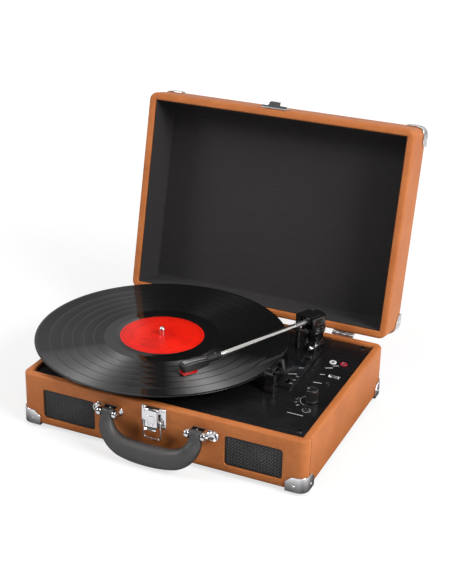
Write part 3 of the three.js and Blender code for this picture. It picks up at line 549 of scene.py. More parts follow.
# ------------------------------------------------------------------ the case
def ring(inset, z, seg=12, groove=0.0):
    """a plan loop of the case at an inset from its outside; the right side carries the covering's lapped seam"""
    w, d, r = W / 2 - inset, D / 2 - inset, max(CASE_R - inset, 0.9)
    pts = []
    for x, y, a in ((w - r, d - r, 0), (-w + r, d - r, 90), (-w + r, -d + r, 180), (w - r, -d + r, 270)):
        pts += arc(x, y, r, a, a + 90, seg)
        if a == 270:
            y0 = FRONT + CASE_R
            pts += [(w, y0 + 0.7), (w - groove, y0 + 1.0), (w - groove, y0 + 1.6), (w + (0.2 if groove else 0), y0 + 2.1), (w, y0 + 4.2)]
    return [(x, y, z) for x, y in pts]


def shell_rings(profile, groove):
    return [ring(-u, z, 12, groove if u > -2.0 else 0.0) for u, z in profile]


# the base cover: covered boards, wrapped over rounded rims, with the speaker openings cut through the front
base_profile = ([(-9.0, 2.0)] + [(-9.0, 20.0), (-9.0, H - 1.6)] + [(-9.0 + 1.6 - 1.6 * math.cos(rad(a)), H - 1.6 + 1.6 * math.sin(rad(a))) for a in (30, 60, 90)]
                + [(-5.0, H + 0.0)] + [(-3.0 + 3.0 * math.sin(rad(a)), H - 3.0 + 3.0 * math.cos(rad(a))) for a in (0, 18, 36, 54, 72, 90)]
                + [(0.0, 45.0), (0.0, 20.0)] + [(-2.6 + 2.6 * math.cos(rad(a)), 2.6 - 2.6 * math.sin(rad(a))) for a in (0, 22, 45, 67, 90)] + [(-8.0, 0.0)])
base_cover = loft(shell_rings(base_profile, 0.9), loop=True)
cutters = [prism(rrect(67.4, 36.6, 4.0, sx * 113.2, 27.6, 8), FRONT - 6, FRONT + WALL + 6, "XZ") for sx in (-1, 1)]
cutters.append(rod(4.2, WALL + 12, 32, 0.0, "Y", (60, BACK - WALL - 6, 26)))
base_cover = boolean(base_cover, cutters, "DIFFERENCE")


def opening_edge(e):
    a, b = e.verts[0].co, e.verts[1].co
    if abs(a.y - FRONT) > 0.02 or abs(b.y - FRONT) > 0.02:
        return False
    return all(abs(abs(v.x) - 113.2) <= 33.75 and abs(v.z - 27.6) <= 18.35 for v in (a, b))


soften(base_cover, 1.3, 4, 30, opening_edge)
piece("base_cover", base_cover, "tan", "base", "base_shell", angle=42)

lid_profile = ([(-4.6, LID1)] + [(-4.6 + 4.6 * math.sin(rad(a)), LID1 - 4.6 + 4.6 * math.cos(rad(a))) for a in (15, 30, 45, 60, 75, 90)]
               + [(0.0, 95.0), (0.0, 75.0)] + [(-3.0 + 3.0 * math.cos(rad(a)), LID0 + 3.0 - 3.0 * math.sin(rad(a))) for a in (0, 18, 36, 54, 72, 90)]
               + [(-5.0, LID0)] + [(-9.0 + 1.6 - 1.6 * math.sin(rad(a)), LID0 + 1.6 - 1.6 * math.cos(rad(a))) for a in (0, 30, 60, 90)]
               + [(-9.0, 80.0), (-9.0, LID1 - 4.0)])
piece("lid_cover", loft(shell_rings(lid_profile, 0.0)), "tan", "lid", "lid_shell", LID, angle=42)

# the lid's cloth lining, folded into its corners and tucked behind the rim
top = LID1 - 4.3
lin = ([(-9.3, top)] + [(-9.3, 80.0), (-9.3, LID0 + 2.6)] + [(-9.7, LID0 + 2.25), (-10.2, LID0 + 2.6)]
       + [(-10.5, 80.0), (-10.5, top - 5.2)] + [(-14.5 + 4.0 * math.cos(rad(a)), top - 5.2 + 4.0 * math.sin(rad(a))) for a in (18, 36, 54, 72, 90)])
bm = loft([ring(-u, z, 8) for u, z in lin], cap=True)
piece("lid_lining_cloth", bm, "lining", "lid", "lid_lining", LID, angle=50)

refined("base_floor", "board", 0.5)
for a in ("front", "back"):
    for b in ("left", "right"):
        n = a + "_" + b
        sx, sy = (1 if b == "right" else -1), (1 if a == "back" else -1)
        foot = lathe([(0, -5.3), (6.0, -5.3), (7.2, -5.0)] + arc(7.4, -4.3, 0.8, -60, 0, 3) + [(8.5, -0.6), (8.75, 0.2), (8.4, 0.7), (0, 0.7)], 48)
        foot.transform(T(sx * 138, sy * 95, 0))
        piece("foot_%s_pad" % n, foot, "rubber", "base", "foot_" + n)
        refined("base_guard_" + n, "chrome", 0.5, 3, 32)
        refined("lid_guard_" + n, "chrome", 0.5, 3, 32)


def nail(at, normal, r=2.1, h=0.75):
    """a domed nail head with a dimple"""
    bm = lathe([(0, h - 0.35), (r * 0.22, h - 0.32), (r * 0.34, h), (r * 0.62, h - 0.08), (r * 0.9, h * 0.45), (r, 0.0), (r * 0.9, -0.3), (0, -0.3)], 28)
    q = Vector((0, 0, 1)).rotation_difference(Vector(normal)).to_matrix().to_4x4()
    bm.transform(T(*at) @ q)
    return bm


def screw(at, normal, r=2.4, h=0.9, turn=20.0):
    """a cross-head screw"""
    head = lathe([(0, h), (r * 0.5, h * 0.96), (r * 0.85, h * 0.62), (r, 0.05), (r * 0.96, -0.3), (0, -0.3)], 28)
    k = r * 0.16
    slots = [rbox(-r * 0.58, r * 0.58, -k, k, h * 0.35, h + 1, 0), rbox(-k, k, -r * 0.58, r * 0.58, h * 0.35, h + 1, 0)]
    bm = boolean(head, slots, "DIFFERENCE")
    q = Vector((0, 0, 1)).rotation_difference(Vector(normal)).to_matrix().to_4x4()
    bm.transform(T(*at) @ q @ Rot(turn, "Z"))
    return bm


for b, sx in (("left", -1), ("right", 1)):
    for a, sy in (("front", -1), ("back", 1)):
        ox, oy = sx * (W / 2 + 1.5), sy * (D / 2 + 1.5)
        for body, xf, z in (("base", None, 5.2), ("lid", LID, LID1 - 5.2)):
            piece("%s_nail_a_%s_%s" % (body, a, b), nail((sx * (W / 2 - 13.5), oy, z), (0, sy, 0)), "steel", body, xf=xf)
            piece("%s_nail_b_%s_%s" % (body, a, b), nail((ox, sy * (D / 2 - 13.5), z), (sx, 0, 0)), "steel", body, xf=xf)

for side, sx in (("left", -1), ("right", 1)):
    for leaf, body, slot in (("base", "base", "bright_steel"), ("lid", "lid", "bright_steel")):
        refined("hinge_%s_leaf_%s" % (leaf, side), "steel", 0.3, 2)
    for k, dx in enumerate((-9.0, 0.0, 9.0)):
        z = HINGE_Z - (14.5 if dx else 8.5)
        piece("hinge_screw_base_%s_%d" % (side, k), screw((sx * 120.5 + dx, BACK + 1.7, z), (0, 1, 0), 2.0, 0.7, 15 + 40 * k), "steel", "base")
        z = HINGE_Z + (14.5 if dx else 8.5)
        piece("hinge_screw_lid_%s_%d" % (side, k), screw((sx * 120.5 + dx, BACK + 1.7, z), (0, 1, 0), 2.0, 0.7, 55 + 30 * k), "steel", "lid", xf=LID)


# ------------------------------------------------------------------ speakers: woven grille in a frame, driver behind
def inside(x, z, w, h, r):
    qx, qz = abs(x) - (w / 2 - r), abs(z) - (h / 2 - r)
    return math.hypot(max(qx, 0), max(qz, 0)) + min(max(qx, qz), 0) - r


def weave(cx, cz, w, h, r, y, pitch=2.75, amp=0.38, half=0.74):
    """two families of flat strands at 45 degrees, each passing over and under the other"""
    verts, faces = [], []
    reach = (w + h) / 2
    count = int(reach / math.sqrt(2) / pitch) + 1
    c = math.sqrt(0.5)
    for family, (dx, dz) in enumerate(((c, c), (c, -c))):
        nx, nz = -dz, dx
        for i in range(-count, count + 1):
            off = (i + 0.5 * family) * pitch
            s = np.arange(-reach, reach, 0.05)
            ok = [inside(off * nx + t * dx, off * nz + t * dz, w, h, r) < -0.35 for t in s]
            if sum(ok) < 30:
                continue
            s0, s1 = s[ok.index(True)], s[len(ok) - 1 - ok[::-1].index(True)]
            n = max(4, int(round((s1 - s0) / (pitch / 4))))
            base = len(verts)
            for k in range(n + 1):
                t = s0 + (s1 - s0) * k / n
                ph = math.pi * (t / pitch - (0.0 if family else 0.5)) + math.pi * i
                dy = amp * math.cos(ph) * (1 if family else -1)
                px, pz = cx + off * nx + t * dx, cz + off * nz + t * dz
                for a in range(6):
                    ang = math.pi * a / 3
                    e, f = half * math.cos(ang), 0.20 * math.sin(ang)
                    verts.append((px + e * nx, y + dy - f, pz + e * nz))
            for k in range(n):
                for a in range(6):
                    b = (a + 1) % 6
                    p = base + k * 6
                    faces.append((p + a, p + b, p + 6 + b, p + 6 + a))
            faces.append(tuple(base + a for a in range(5, -1, -1)))
            faces.append(tuple(base + n * 6 + a for a in range(6)))
    return bm_arrays(verts, faces)


for side, sx in (("left", -1), ("right", 1)):
    cx = sx * 113.2
    piece("grille_weave_" + side, weave(cx, 27.6, 65.4, 34.6, 3.1, FRONT + 2.15), "cloth", "base", "speaker_grille_" + side, angle=80)
    outer_loop, inner_loop = rrect(66.8, 36.0, 3.7, cx, 27.6, 8), rrect(64.8, 34.0, 2.9, cx, 27.6, 8)
    frame_rings = [[(x, y, z) for x, z in loop] for loop, y in ((outer_loop, FRONT + 3.3), (outer_loop, FRONT + 1.75), (rrect(66.4, 35.6, 3.6, cx, 27.6, 8), FRONT + 1.45),
                                                                 (rrect(65.2, 34.4, 3.1, cx, 27.6, 8), FRONT + 1.45), (inner_loop, FRONT + 1.75), (inner_loop, FRONT + 3.3))]
    piece("grille_frame_" + side, loft(frame_rings, loop=True), "satin", "base")
    # painted shade: a near-black sheet just behind the weave stands in for the dark inside of the speaker opening
    piece("grille_backing_" + side, prism(rrect(66.0, 35.2, 3.4, cx, 27.6, 8), FRONT + 3.05, FRONT + 3.45, "XZ"), "shade_sheet", "base")
    cone = lathe([(0, 6.2), (4.5, 6.0), (7.6, 7.6), (8.0, 8.0), (17.2, 1.6), (18.0, 1.1), (19.2, 0.5), (20.4, 1.0), (21.2, 1.9), (23.0, 2.2), (23.0, 3.4),
                  (21.0, 4.4), (15.0, 12.5), (17.0, 14.4), (17.0, 23.3), (16.4, 24.0), (0, 24.0)], 56)
    cone.transform(T(cx, FRONT + WALL + 0.5, 30) @ Rot(-90, "X"))
    piece("driver_" + side, cone, "cone", "base", "speaker_driver_" + side)
    flange = boolean(prism(rrect(64, 46, 6, cx, 30, 6), FRONT + WALL + 0.7, FRONT + WALL + 2.9, "XZ", 0.5), [rod(22.4, 30, 48, 0, "Y", (cx, FRONT, 30))], "DIFFERENCE")
    piece("driver_frame_" + side, flange, "steel", "base")

# ------------------------------------------------------------------ carrying handle
pairs = [((60.3, 5.9), (46.9, 5.9)), ((60.4, 0), (46.9, 0)), ((60.9, -5.5), (46.7, -4.2)), ((61.7, -12.0), (45.6, -9.0)), ((59.6, -21.0), (43.4, -13.1)), ((54.4, -29.8), (40.1, -16.7)),
         ((47.2, -37.4), (35.6, -19.5)), ((38, -42.9), (29.4, -21.5)), ((28, -45.8), (21.8, -22.7)), ((14, -47.7), (11, -23.2)), ((0, -48.2), (0, -23.4))]
both = [((-a[0], a[1]), (-b[0], b[1])) for a, b in pairs] + [p for p in pairs[::-1]][1:]
outer_c, inner_c = spline([p[0] for p in both], 5), spline([p[1] for p in both], 5)
n = len(outer_c)
rings = []
SEG = 36
for i in range(n):
    o, q = outer_c[i], inner_c[i]
    c, half = (o + q) / 2, (o - q) / 2
    z = c[1]
    t = min(i, n - 1 - i)
    # the grip swells over the bar and thins towards the lugs
    swell = min(1.0, max(0.0, (-z - 5.0) / 16.0))
    thick = 4.6 + 3.5 * swell * swell * (3 - 2 * swell)
    power = 3.4 - 1.15 * swell
    if z > 0:
        thick = 4.6 * math.sqrt(max(0.0, 1 - (z / 6.05) ** 2))
    row = []
    for k in range(SEG):
        a = 2 * math.pi * k / SEG
        ca, sa = math.cos(a), math.sin(a)
        ex = math.copysign(abs(ca) ** (2 / power), ca)
        ey = math.copysign(abs(sa) ** (2 / power), sa)
        seam = 0.0
        if abs(sa) < 0.09 and t > 8:
            seam = 0.35
        p = c + half * ex * (1 + seam / max(np.linalg.norm(half), 1))
        row.append((p[0], thick * ey, p[1]))
    rings.append(row)
piece("handle_grip_soft", loft(rings), "grip", "handle", "handle_grip", GRIP, angle=60)
for side, sx in (("left", -1), ("right", 1)):
    x0 = 41.0 * sx if sx > 0 else -65.3
    piece("handle_pin_" + side, rod(1.72, 24.3, 24, 0.5, "X", (x0, 0, 0)), "steel", "handle", xf=GRIP)


def handle_bracket(sx):
    plate = prism(rrect(36.5, 12.5, 6.2, 58.2, 43.0, 10), FRONT - 1.7, FRONT - 0.3, "XZ", 0.5, 3, 50)
    solids = [plate]
    for x0 in (42.1, 60.9):
        prof = [(FRONT - 12 + 4.9 * math.cos(rad(a)), 45 + 4.9 * math.sin(rad(a))) for a in range(90, 271, 12)] + [(FRONT - 5, 40.4), (FRONT - 0.9, 39.8), (FRONT - 0.9, 49.6), (FRONT - 5, 49.7)]
        solids.append(prism(prof, x0, x0 + 4.4, "YZ", 0.9, 4, 40))
    bm = merged(*solids)
    bm = boolean(bm, [rod(1.9, 40, 28, 0, "X", (35, FRONT - 12, 45))], "DIFFERENCE")
    bm.transform(T(-2.5, 0, 0) @ Matrix.Diagonal((sx, 1, 1, 1)))
    return bm


for side, sx in (("left", -1), ("right", 1)):
    piece("handle_mount_" + side, handle_bracket(sx), "chrome", "base", "handle_bracket_" + side)
    cx = -2.5 + sx * 70.6
    # the domed eye that covers the bracket's fixing, with its dished middle
    eye = lathe([(0, 0.35), (1.8, 0.5), (3.2, 1.0), (4.1, 2.2), (4.6, 2.75), (5.1, 2.75), (5.6, 2.2), (6.0, 1.0), (6.05, 0.1), (5.7, -0.2), (0, -0.2)], 48)
    eye.transform(T(cx, FRONT - 1.6, 43) @ Matrix.Diagonal((1.12, 1, 0.98, 1)) @ Rot(90, "X"))
    piece("handle_eye_" + side, eye, "chrome", "base")
    for nm, x0 in (("in", 41.45), ("out", 65.4)):
        collar = lathe([(2.1, 0), (4.4, 0), (4.65, 0.15), (4.65, 0.4), (4.4, 0.55), (2.1, 0.55)], 32, closed=True)
        collar.transform(T(-2.5, FRONT - 12, 45) @ Matrix.Diagonal((sx, 1, 1, 1)) @ T(x0, 0, 0) @ Rot(90, "Y"))
        bmesh.ops.reverse_faces(collar, faces=collar.faces[:])
        piece("handle_washer_%s_%s" % (nm, side), collar, "steel", "base")

# ------------------------------------------------------------------ draw latch
LX = -4.4
plate = prism(rrect(30, 25, 2.0, LX, 47.3, 6), FRONT - 1.5, FRONT - 0.3, "XZ", 0.4, 3, 50)
ears = []
for x0 in (LX - 8.6, LX + 7.5):
    prof = [(FRONT - 5 + 2.9 * math.cos(rad(a)), 57.3 + 2.9 * math.sin(rad(a))) for a in range(60, 271, 15)] + [(FRONT - 1.0, 52.0), (FRONT - 1.0, 59.6)]
    ears.append(prism(prof, x0, x0 + 1.1, "YZ", 0.25, 2, 40))
bm = boolean(merged(plate, *ears), [rod(1.65, 40, 24, 0, "X", (LX - 20, FRONT - 5, 57.3))], "DIFFERENCE")
piece("latch_plate_skin", bm, "chrome", "base", "latch_plate")
for k, (dx, z) in enumerate(((-12.2, 57.2), (12.2, 57.2), (-12.2, 37.6), (12.2, 37.6))):
    piece("latch_rivet_%d" % k, nail((LX + dx, FRONT - 1.5, z), (0, -1, 0), 1.55, 0.6), "chrome", "base")

# the lever: a folded sheet with side flanges, rolled over the pin and flicked out at its lip
cl = spline([(1.9, 1.8), (-0.4, 2.6), (-2.5, 1.5), (-3.0, -2.0), (-2.9, -7.0), (-2.75, -13.0), (-3.0, -17.5), (-4.2, -20.6), (-6.1, -22.0)], 5)
gr = np.gradient(cl, axis=0)
gr /= np.linalg.norm(gr, axis=1)[:, None]
nr = np.stack([-gr[:, 1], gr[:, 0]], 1)
o1, o2 = cl + nr * 0.55, cl - nr * 0.55
outline = [tuple(p) for p in o1] + [tuple(p) for p in o2[::-1]]
sheet = prism(outline, -7.2, 7.2, "YZ", 0.22, 2, 50)
flanges = [prism([(-3.2, 0.5), (-3.1, -17.2), (-1.6, -17.6), (0.6, -14.6), (2.1, -13.2), (2.1, -10.6), (0.4, -8.4), (0.0, -4.0), (1.8, -1.6), (2.2, 0.4), (0.5, 2.2), (-1.9, 1.9)], x0, x0 + 0.9, "YZ", 0.18, 2, 30) for x0 in (-7.2, 6.3)]
barrel = rod(2.45, 14.2, 32, 0.4, "X", (-7.1, 0, 0))
boss = rod(2.15, 14.2, 28, 0.3, "X", (-7.1, 0, -12.3))
lever = merged(sheet, barrel, boss, *flanges)
lever = merged(lever, rod(1.5, 17.0, 24, 0.25, "X", (-8.5, 0, 0)))
lever = boolean(lever, [rod(1.25, 30, 24, 0, "X", (-15, 0, -12.3)), rod(0.65, 3, 16, 0, "Y", (-2.4, -5.4, -15.9)), rod(0.65, 3, 16, 0, "Y", (2.4, -5.4, -15.9))], "DIFFERENCE")
piece("latch_lever_skin", lever, "chrome", "latch_lever", "latch_lever", LEVER)
rib = rbox(-4.4, 4.4, -3.95, -3.0, -14.4, -5.2, 0.45, 3)
piece("latch_lever_emboss", rib, "chrome", "latch_lever", xf=LEVER)

L = 22.6
path = [(-5.7, 0, 0), (-8.4, 0, 0), (-9.6, 0, -0.35), (-10.2, 0, -1.5), (-10.2, 0, -6), (-10.2, 0, -14), (-10.2, 0, -L + 3.2)] + \
       [(-7.2 - 3.0 * math.cos(rad(a)), 0, -L + 3.0 - 3.0 * math.sin(rad(a))) for a in (20, 40, 60, 80, 90)]
path += [(-3.5, 0, -L), (0, 0, -L)]
path = path + [(-x, y, z) for x, y, z in path[-2::-1]]
piece("latch_bail_wire", tube(path, 0.9, 16, up=(0, 1, 0)), "steel", "latch_bail", "latch_bail", BAIL, angle=60)

strike = merged(prism(rrect(32.5, 15.6, 2.0, LX, 70.7, 6), FRONT - 1.5, FRONT - 0.3, "XZ", 0.4, 3, 50),
                prism([(FRONT - 0.9, 62.9), (FRONT - 0.9, 64.4), (FRONT - 8.2, 64.4), (FRONT - 8.4, 65.8), (FRONT - 9.3, 65.8), (FRONT - 9.4, 64.0), (FRONT - 9.0, 63.0)], LX - 7.4, LX + 7.4, "YZ", 0.3, 2, 30),
                prism([(FRONT - 0.9, 62.9), (FRONT - 0.9, 64.4), (FRONT - 4.6, 64.4), (FRONT - 4.9, 63.6), (FRONT - 4.6, 62.9)], LX - 16.1, LX + 16.1, "YZ", 0.25, 2, 30))
piece("lid_strike_skin", strike, "chrome", "lid", "lid_strike", LID)
for k, dx in enumerate((-11.5, 11.5)):
    piece("strike_rivet_%d" % k, nail((LX + dx, FRONT - 1.5, 72.8), (0, -1, 0), 1.7, 0.6), "chrome", "lid", xf=LID)


# ------------------------------------------------------------------ deck, its print and its sockets
def gather(*bms):
    """several closed solids in one mesh, left as they are"""
    out = bmesh.new()
    for bm in bms:
        me = to_mesh(bm, "tmp")
        out.from_mesh(me)
        bpy.data.meshes.remove(me)
    return out


def ink(points, w, z, h=0.07):
    """a printed stroke along a line of points, as a thin raised film"""
    parts = []
    for (xa, ya), (xb, yb) in zip(points, points[1:]):
        d = Vector((xb - xa, yb - ya))
        if d.length < 1e-6:
            continue
        d.normalize()
        n = Vector((-d.y, d.x)) * w / 2
        e = d * w * 0.35
        q = [(xa - e.x + n.x, ya - e.y + n.y), (xa - e.x - n.x, ya - e.y - n.y), (xb + e.x - n.x, yb + e.y - n.y), (xb + e.x + n.x, yb + e.y + n.y)]
        parts.append(prism(q, z - 0.02, z + h))
    return gather(*parts)


def ringfilm(x, y, r0, r1, z, h=0.07):
    bm = lathe([(r0, z - 0.02), (r1, z - 0.02), (r1, z + h), (r0, z + h)], 48, closed=True)
    bm.transform(T(x, y, 0))
    return bm


DIGIT = {
    "3": [(0.1, 1.45), (0.5, 1.6), (0.9, 1.4), (0.85, 1.0), (0.45, 0.85), (0.88, 0.7), (0.95, 0.3), (0.5, 0), (0.05, 0.15)],
    "4": [(0.72, 0), (0.72, 1.6), (0.02, 0.5), (1.0, 0.5)],
    "5": [(0.9, 1.6), (0.15, 1.6), (0.1, 0.92), (0.55, 1.02), (0.95, 0.7), (0.9, 0.25), (0.5, 0), (0.05, 0.15)],
    "7": [(0.05, 1.6), (0.95, 1.6), (0.4, 0)],
    "8": [(0.5, 0.85), (0.1, 1.15), (0.2, 1.5), (0.5, 1.6), (0.8, 1.5), (0.9, 1.15), (0.5, 0.85), (0.05, 0.5), (0.1, 0.15), (0.5, 0), (0.9, 0.15), (0.95, 0.5), (0.5, 0.85)],
}


def digits(text, x, y, size, z, turn=0.0):
    parts = []
    for i, c in enumerate(text):
        if c in DIGIT:
            parts.append(ink([(size * (px + i * 1.45), size * py) for px, py in DIGIT[c]], size * 0.2, z))
    bm = gather(*parts)
    bm.transform(T(x, y, 0) @ Rot(turn, "Z"))
    return bm


deck_obj = refined("deck_plate", "deck", 0.55, 3)
deck_obj.data.materials.append(MAT["raised"])
for poly in deck_obj.data.polygons:
    if poly.normal.z > 0.9995:
        poly.use_smooth = False
    if poly.center.z > (DECK + 0.35) / 1000 and poly.center.x < 0.118:
        poly.material_index = 1
ribs = [rbox(108.7, 112.1, 12.0 + 1.9 * k, 12.9 + 1.9 * k, PLATEAU - 0.1, PLATEAU + 0.38, 0.12, 1) for k in range(39)]
piece("plateau_ribs", gather(*ribs), "raised", "base")
prints = [ink([a, b], w, DECK) for a, b, w in (
    ((136.8, 52.6), (142.5, 55.4), 0.9), ((130.5, 43.9), (137.6, 47.5), 1.2), ((130.6, 26.1), (135.2, 28.3), 0.9), ((130.2, 5.4), (139.2, 6.5), 0.9),
    ((129.0, -71.5), (146.8, -71.8), 0.75))]
for x, y in ((129.1, -46.5), (133.6, -51.8), (129.3, -36.4), (127.6, -39.7), (132.6, -52.3), (143.3, -34.4)):
    d = Vector((x - 144, y + 37)).normalized() * 1.3
    prints.append(ink([(x - d.x, y - d.y), (x + d.x, y + d.y)], 0.45, DECK))
prints += [ringfilm(146.0, -59.0, 4.3, 4.65, DECK)]
prints.append(ink([(144 - 12.6 * math.cos(rad(a)), -37 + 12.6 * math.sin(rad(a))) for a in range(-70, 71, 7)], 0.4, DECK))
piece("deck_print", gather(*prints), "print", "base")
marks = [ink([(98.6, 6.9), (107.2, 10.8)], 0.85, PLATEAU), ink([(101.4, -6.8), (105.0, -4.9)], 0.8, PLATEAU), digits("78", 108.2, 4.6, 1.35, PLATEAU),
         digits("45", 108.2, -4.8, 1.35, PLATEAU), digits("33", 108.2, -13.8, 1.35, PLATEAU), ink([(104.4, 26.1), (109.2, 28.4)], 0.8, PLATEAU)]
piece("plateau_print", gather(*marks), "print", "base")
film = prism([(86.2, 33.6), (99.6, 45.6), (101.8, 46.0), (103.3, 44.4), (111.4, 12.0), (111.4, -6.6), (106.6, -16.0), (104.9, -16.9), (103.2, -15.6), (85.8, 31.6)], PLATEAU - 0.1, PLATEAU + 0.05)
film = boolean(film, [rbox(101.7, 106.3, -14.4, 6.4, PLATEAU - 2, PLATEAU + 2, 0)], "DIFFERENCE")
piece("plateau_film", film, "panel", "base")

for n, x, y in (("front_right", 155.5, -103), ("back_right", 152, 112)):
    piece("deck_fixing_" + n, gather(screw((x, y, 57.65), (0, 0, 1), 3.2, 1.25, 32), rod(1.5, 11, 20, 0.3, "Z", (x, y, 46.6))), "black_steel", "base", "deck_screw_" + n)
for n, x, y, slot, mat in (("white", 133.6, 60.6, "white_plastic", "white"), ("red", 146.6, 61.6, "white_plastic", "redring")):
    ringy = lathe([(2.5, 55.2), (4.1, 55.2), (4.1, 59.0)] + arc(3.6, 59.1, 0.5, 0, 90, 3) + [(3.1, 59.6), (2.6, 59.4), (2.5, 59.1)], 40, closed=True)
    ringy.transform(T(x, y, 0))
    piece("rca_%s_ring" % n, ringy, mat, "base", "rca_sockets" if n == "white" else ())
    metal_in = lathe([(1.6, 54.5), (2.45, 54.5), (2.45, 59.0), (2.25, 59.2), (1.8, 59.2), (1.6, 59.0)], 32, closed=True)
    metal_in.transform(T(x, y, 0))
    piece("rca_%s_insert" % n, metal_in, "steel", "base")
piece("rca_body", rbox(126.2, 152.8, 53.2, 68.8, 45.2, 55.3, 0.6), "satin", "base")
refined("usb_socket", "steel", 0.12, 1)
refined("aux_socket", "gloss", 0.25)
refined("phones_socket", "gloss", 0.25)
for n, x, y in (("aux", 146, 7), ("phones", 146, -59)):
    nut = lathe([(1.75, 58.9), (3.0, 58.9), (3.3, 59.1), (3.3, 59.5), (2.9, 59.9), (2.0, 59.9), (1.75, 59.6)], 36, closed=True)
    nut.transform(T(x, y, 0))
    piece(n + "_ferrule", nut, "gloss" if n == "aux" else "black_steel", "base")
refined("circuit_board", "pcb", 0.15, 1)
refined("dc_socket", "satin", 0.35)

# volume knob: fluted skirt, plain cap, pointer line
KX, KY = 144, -37
rows = []
for r, z, f in ((2.6, 58.95, 0), (7.0, 58.95, 0), (7.3, 59.2, 0), (7.3, 60.0, 0), (7.05, 60.5, 1), (7.02, 66, 1), (6.95, 71.8, 1), (6.85, 72.9, 0.6), (6.35, 73.6, 0), (5.6, 74.0, 0), (4.9, 73.75, 0), (3.0, 73.7, 0), (0.3, 73.7, 0)):
    rows.append([((r - 0.30 * f * (0.5 - 0.5 * math.cos(30 * 2 * math.pi * k / 240))) * math.cos(2 * math.pi * k / 240), (r - 0.30 * f * (0.5 - 0.5 * math.cos(30 * 2 * math.pi * k / 240))) * math.sin(2 * math.pi * k / 240), z) for k in range(240)])
kb = loft(rows)
kb.transform(T(KX, KY, 0))
piece("volume_knob_cap", gather(kb, rod(2.9, 11.5, 28, 0.3, "Z", (KX, KY, 48.1))), "satin", "volume_knob", "volume_knob", angle=30)
piece("volume_knob_line", rbox(KX - 6.0, KX - 3.4, KY - 0.3, KY + 0.3, 73.6, 74.02, 0.05, 1), "print", "volume_knob")


def ribbed(node, body, x, y):
    z = PLATEAU + 0.3
    cap = rbox(x - 3.2, x + 3.2, y - 3.0, y + 3.0, z, z + 2.6, 0.5, 3)
    cuts = [rbox(x - 4, x + 4, y + d - 0.25, y + d + 0.25, z + 2.1, z + 4, 0) for d in (-1.8, -0.9, 0, 0.9, 1.8)]
    stem = rbox(x - 1.6, x + 1.6, y - 2.0, y + 2.0, z - 7, z + 0.6, 0.2, 1)
    piece(node + "_cap", merged(boolean(cap, cuts, "DIFFERENCE"), stem), "satin", body, node)


ribbed("speed_selector", "speed_selector", 104, -4)
ribbed("autostop_switch", "autostop_switch", 104, 54)

# ------------------------------------------------------------------ turntable
px, py = PLATTER
plat = lathe([(3.6, 59.6), (10.6, 59.6), (11.0, 60.0), (11.0, 66.3), (66.5, 66.3), (66.5, 61.2), (66.8, 61.0), (69.7, 61.0), (70.0, 61.3), (70.0, 66.3), (92.6, 66.3), (92.6, 61.3), (92.9, 61.0), (94.9, 61.0), (95.2, 61.3),
              (95.2, 65.9), (95.7, 66.25)] + arc(95.4, 66.9, 0.6, -60, 0, 3) + arc(95.1, 69.6, 0.9, 0, 90, 4) + [(93.6, 70.5), (93.2, 70.25), (20, 70.25), (12, 70.25), (11.6, 70.5), (4.2, 70.5), (3.6, 70.2)], 160, closed=True)
plat.transform(T(px, py, 0))
piece("platter_turned", plat, "satin", "platter", "platter", angle=35)
mat_rings = [(4.1, 70.8), (94.1, 70.8), (94.5, 71.2), (94.5, 71.9), (94.1, 72.3), (92.6, 72.3)]
for k in range(8):
    r = 88.0 - 5.2 * k
    mat_rings += [(r + 1.4, 72.3), (r + 1.1, 72.05), (r + 0.3, 72.05), (r, 72.3)]
mat_rings += [(46, 72.3), (45.6, 71.9), (10, 71.9), (4.5, 71.9), (4.1, 71.6)]
slip = lathe(mat_rings, 128, closed=True)
slip.transform(T(px, py, 0))
piece("slip_mat_felt", slip, "felt", "platter", "slip_mat", angle=35)
sp = lathe([(0, 44.2), (3.3, 44.2), (3.5, 44.5), (3.5, 81.2)] + [(3.5 * math.cos(rad(a)) , 81.4 + 3.6 * math.sin(rad(a))) for a in (8, 20, 34, 48, 62, 76)] + [(0, 85.0)], 48)
sp.transform(T(px, py, 0))
piece("spindle_pin", sp, "chrome", "base", "spindle", angle=40)
refined("motor", "steel", 0.6)
refined("motor_pulley", "satin", 0.15)
refined("drive_belt", "rubber", 0.12, 1)

# the long-playing record that lies on the mat: a prop, too wide for the lid to close over
LPZ = 74.3
lp = [(3.62, 72.45), (50.5, 72.45), (51.2, 72.7), (149.0, 72.7), (150.3, 72.85)] + arc(150.15, 73.45, 0.6, -80, 80, 6) + [(149.2, 74.12), (148.2, 73.98)]
for gap in (133.0, 118.5, 106.5, 93.5, 81.5):
    lp += [(gap + 0.9, 73.98), (gap + 0.5, 73.93), (gap - 0.5, 73.93), (gap - 0.9, 73.98)]
lp += [(69.3, 73.98), (68.6, 73.94), (58, 73.94), (57.6, 73.90), (57.0, 73.94), (51.6, 73.94), (50.9, 74.1), (50.3, 74.22), (3.62, 74.22)]
disc = lathe(lp, 256, closed=True)
disc.transform(T(px, py, 0))
record_disc = piece("long_player", disc, "vinyl", "platter", angle=30)
lab = lathe([(3.62, 74.2), (49.8, 74.2), (50.0, 74.25), (49.8, 74.32), (3.62, 74.32)], 128, closed=True)
lab.transform(T(px, py, 0))
record_label = piece("long_player_label", lab, "label", "platter")
lines = [ringfilm(px, py, 46.9, 47.25, LPZ), ringfilm(px, py, 13.0, 13.3, LPZ), ringfilm(px, py, 35.9, 36.1, LPZ)]
for k in range(6):
    half_w = (13, 17, 9, 15, 12, 8)[k]
    lines.append(ink([(px - half_w, py - 18 - 3.6 * k), (px + half_w, py - 18 - 3.6 * k)], 0.7, LPZ))
record_ink = piece("long_player_ink", gather(*lines), "labelink", "platter")


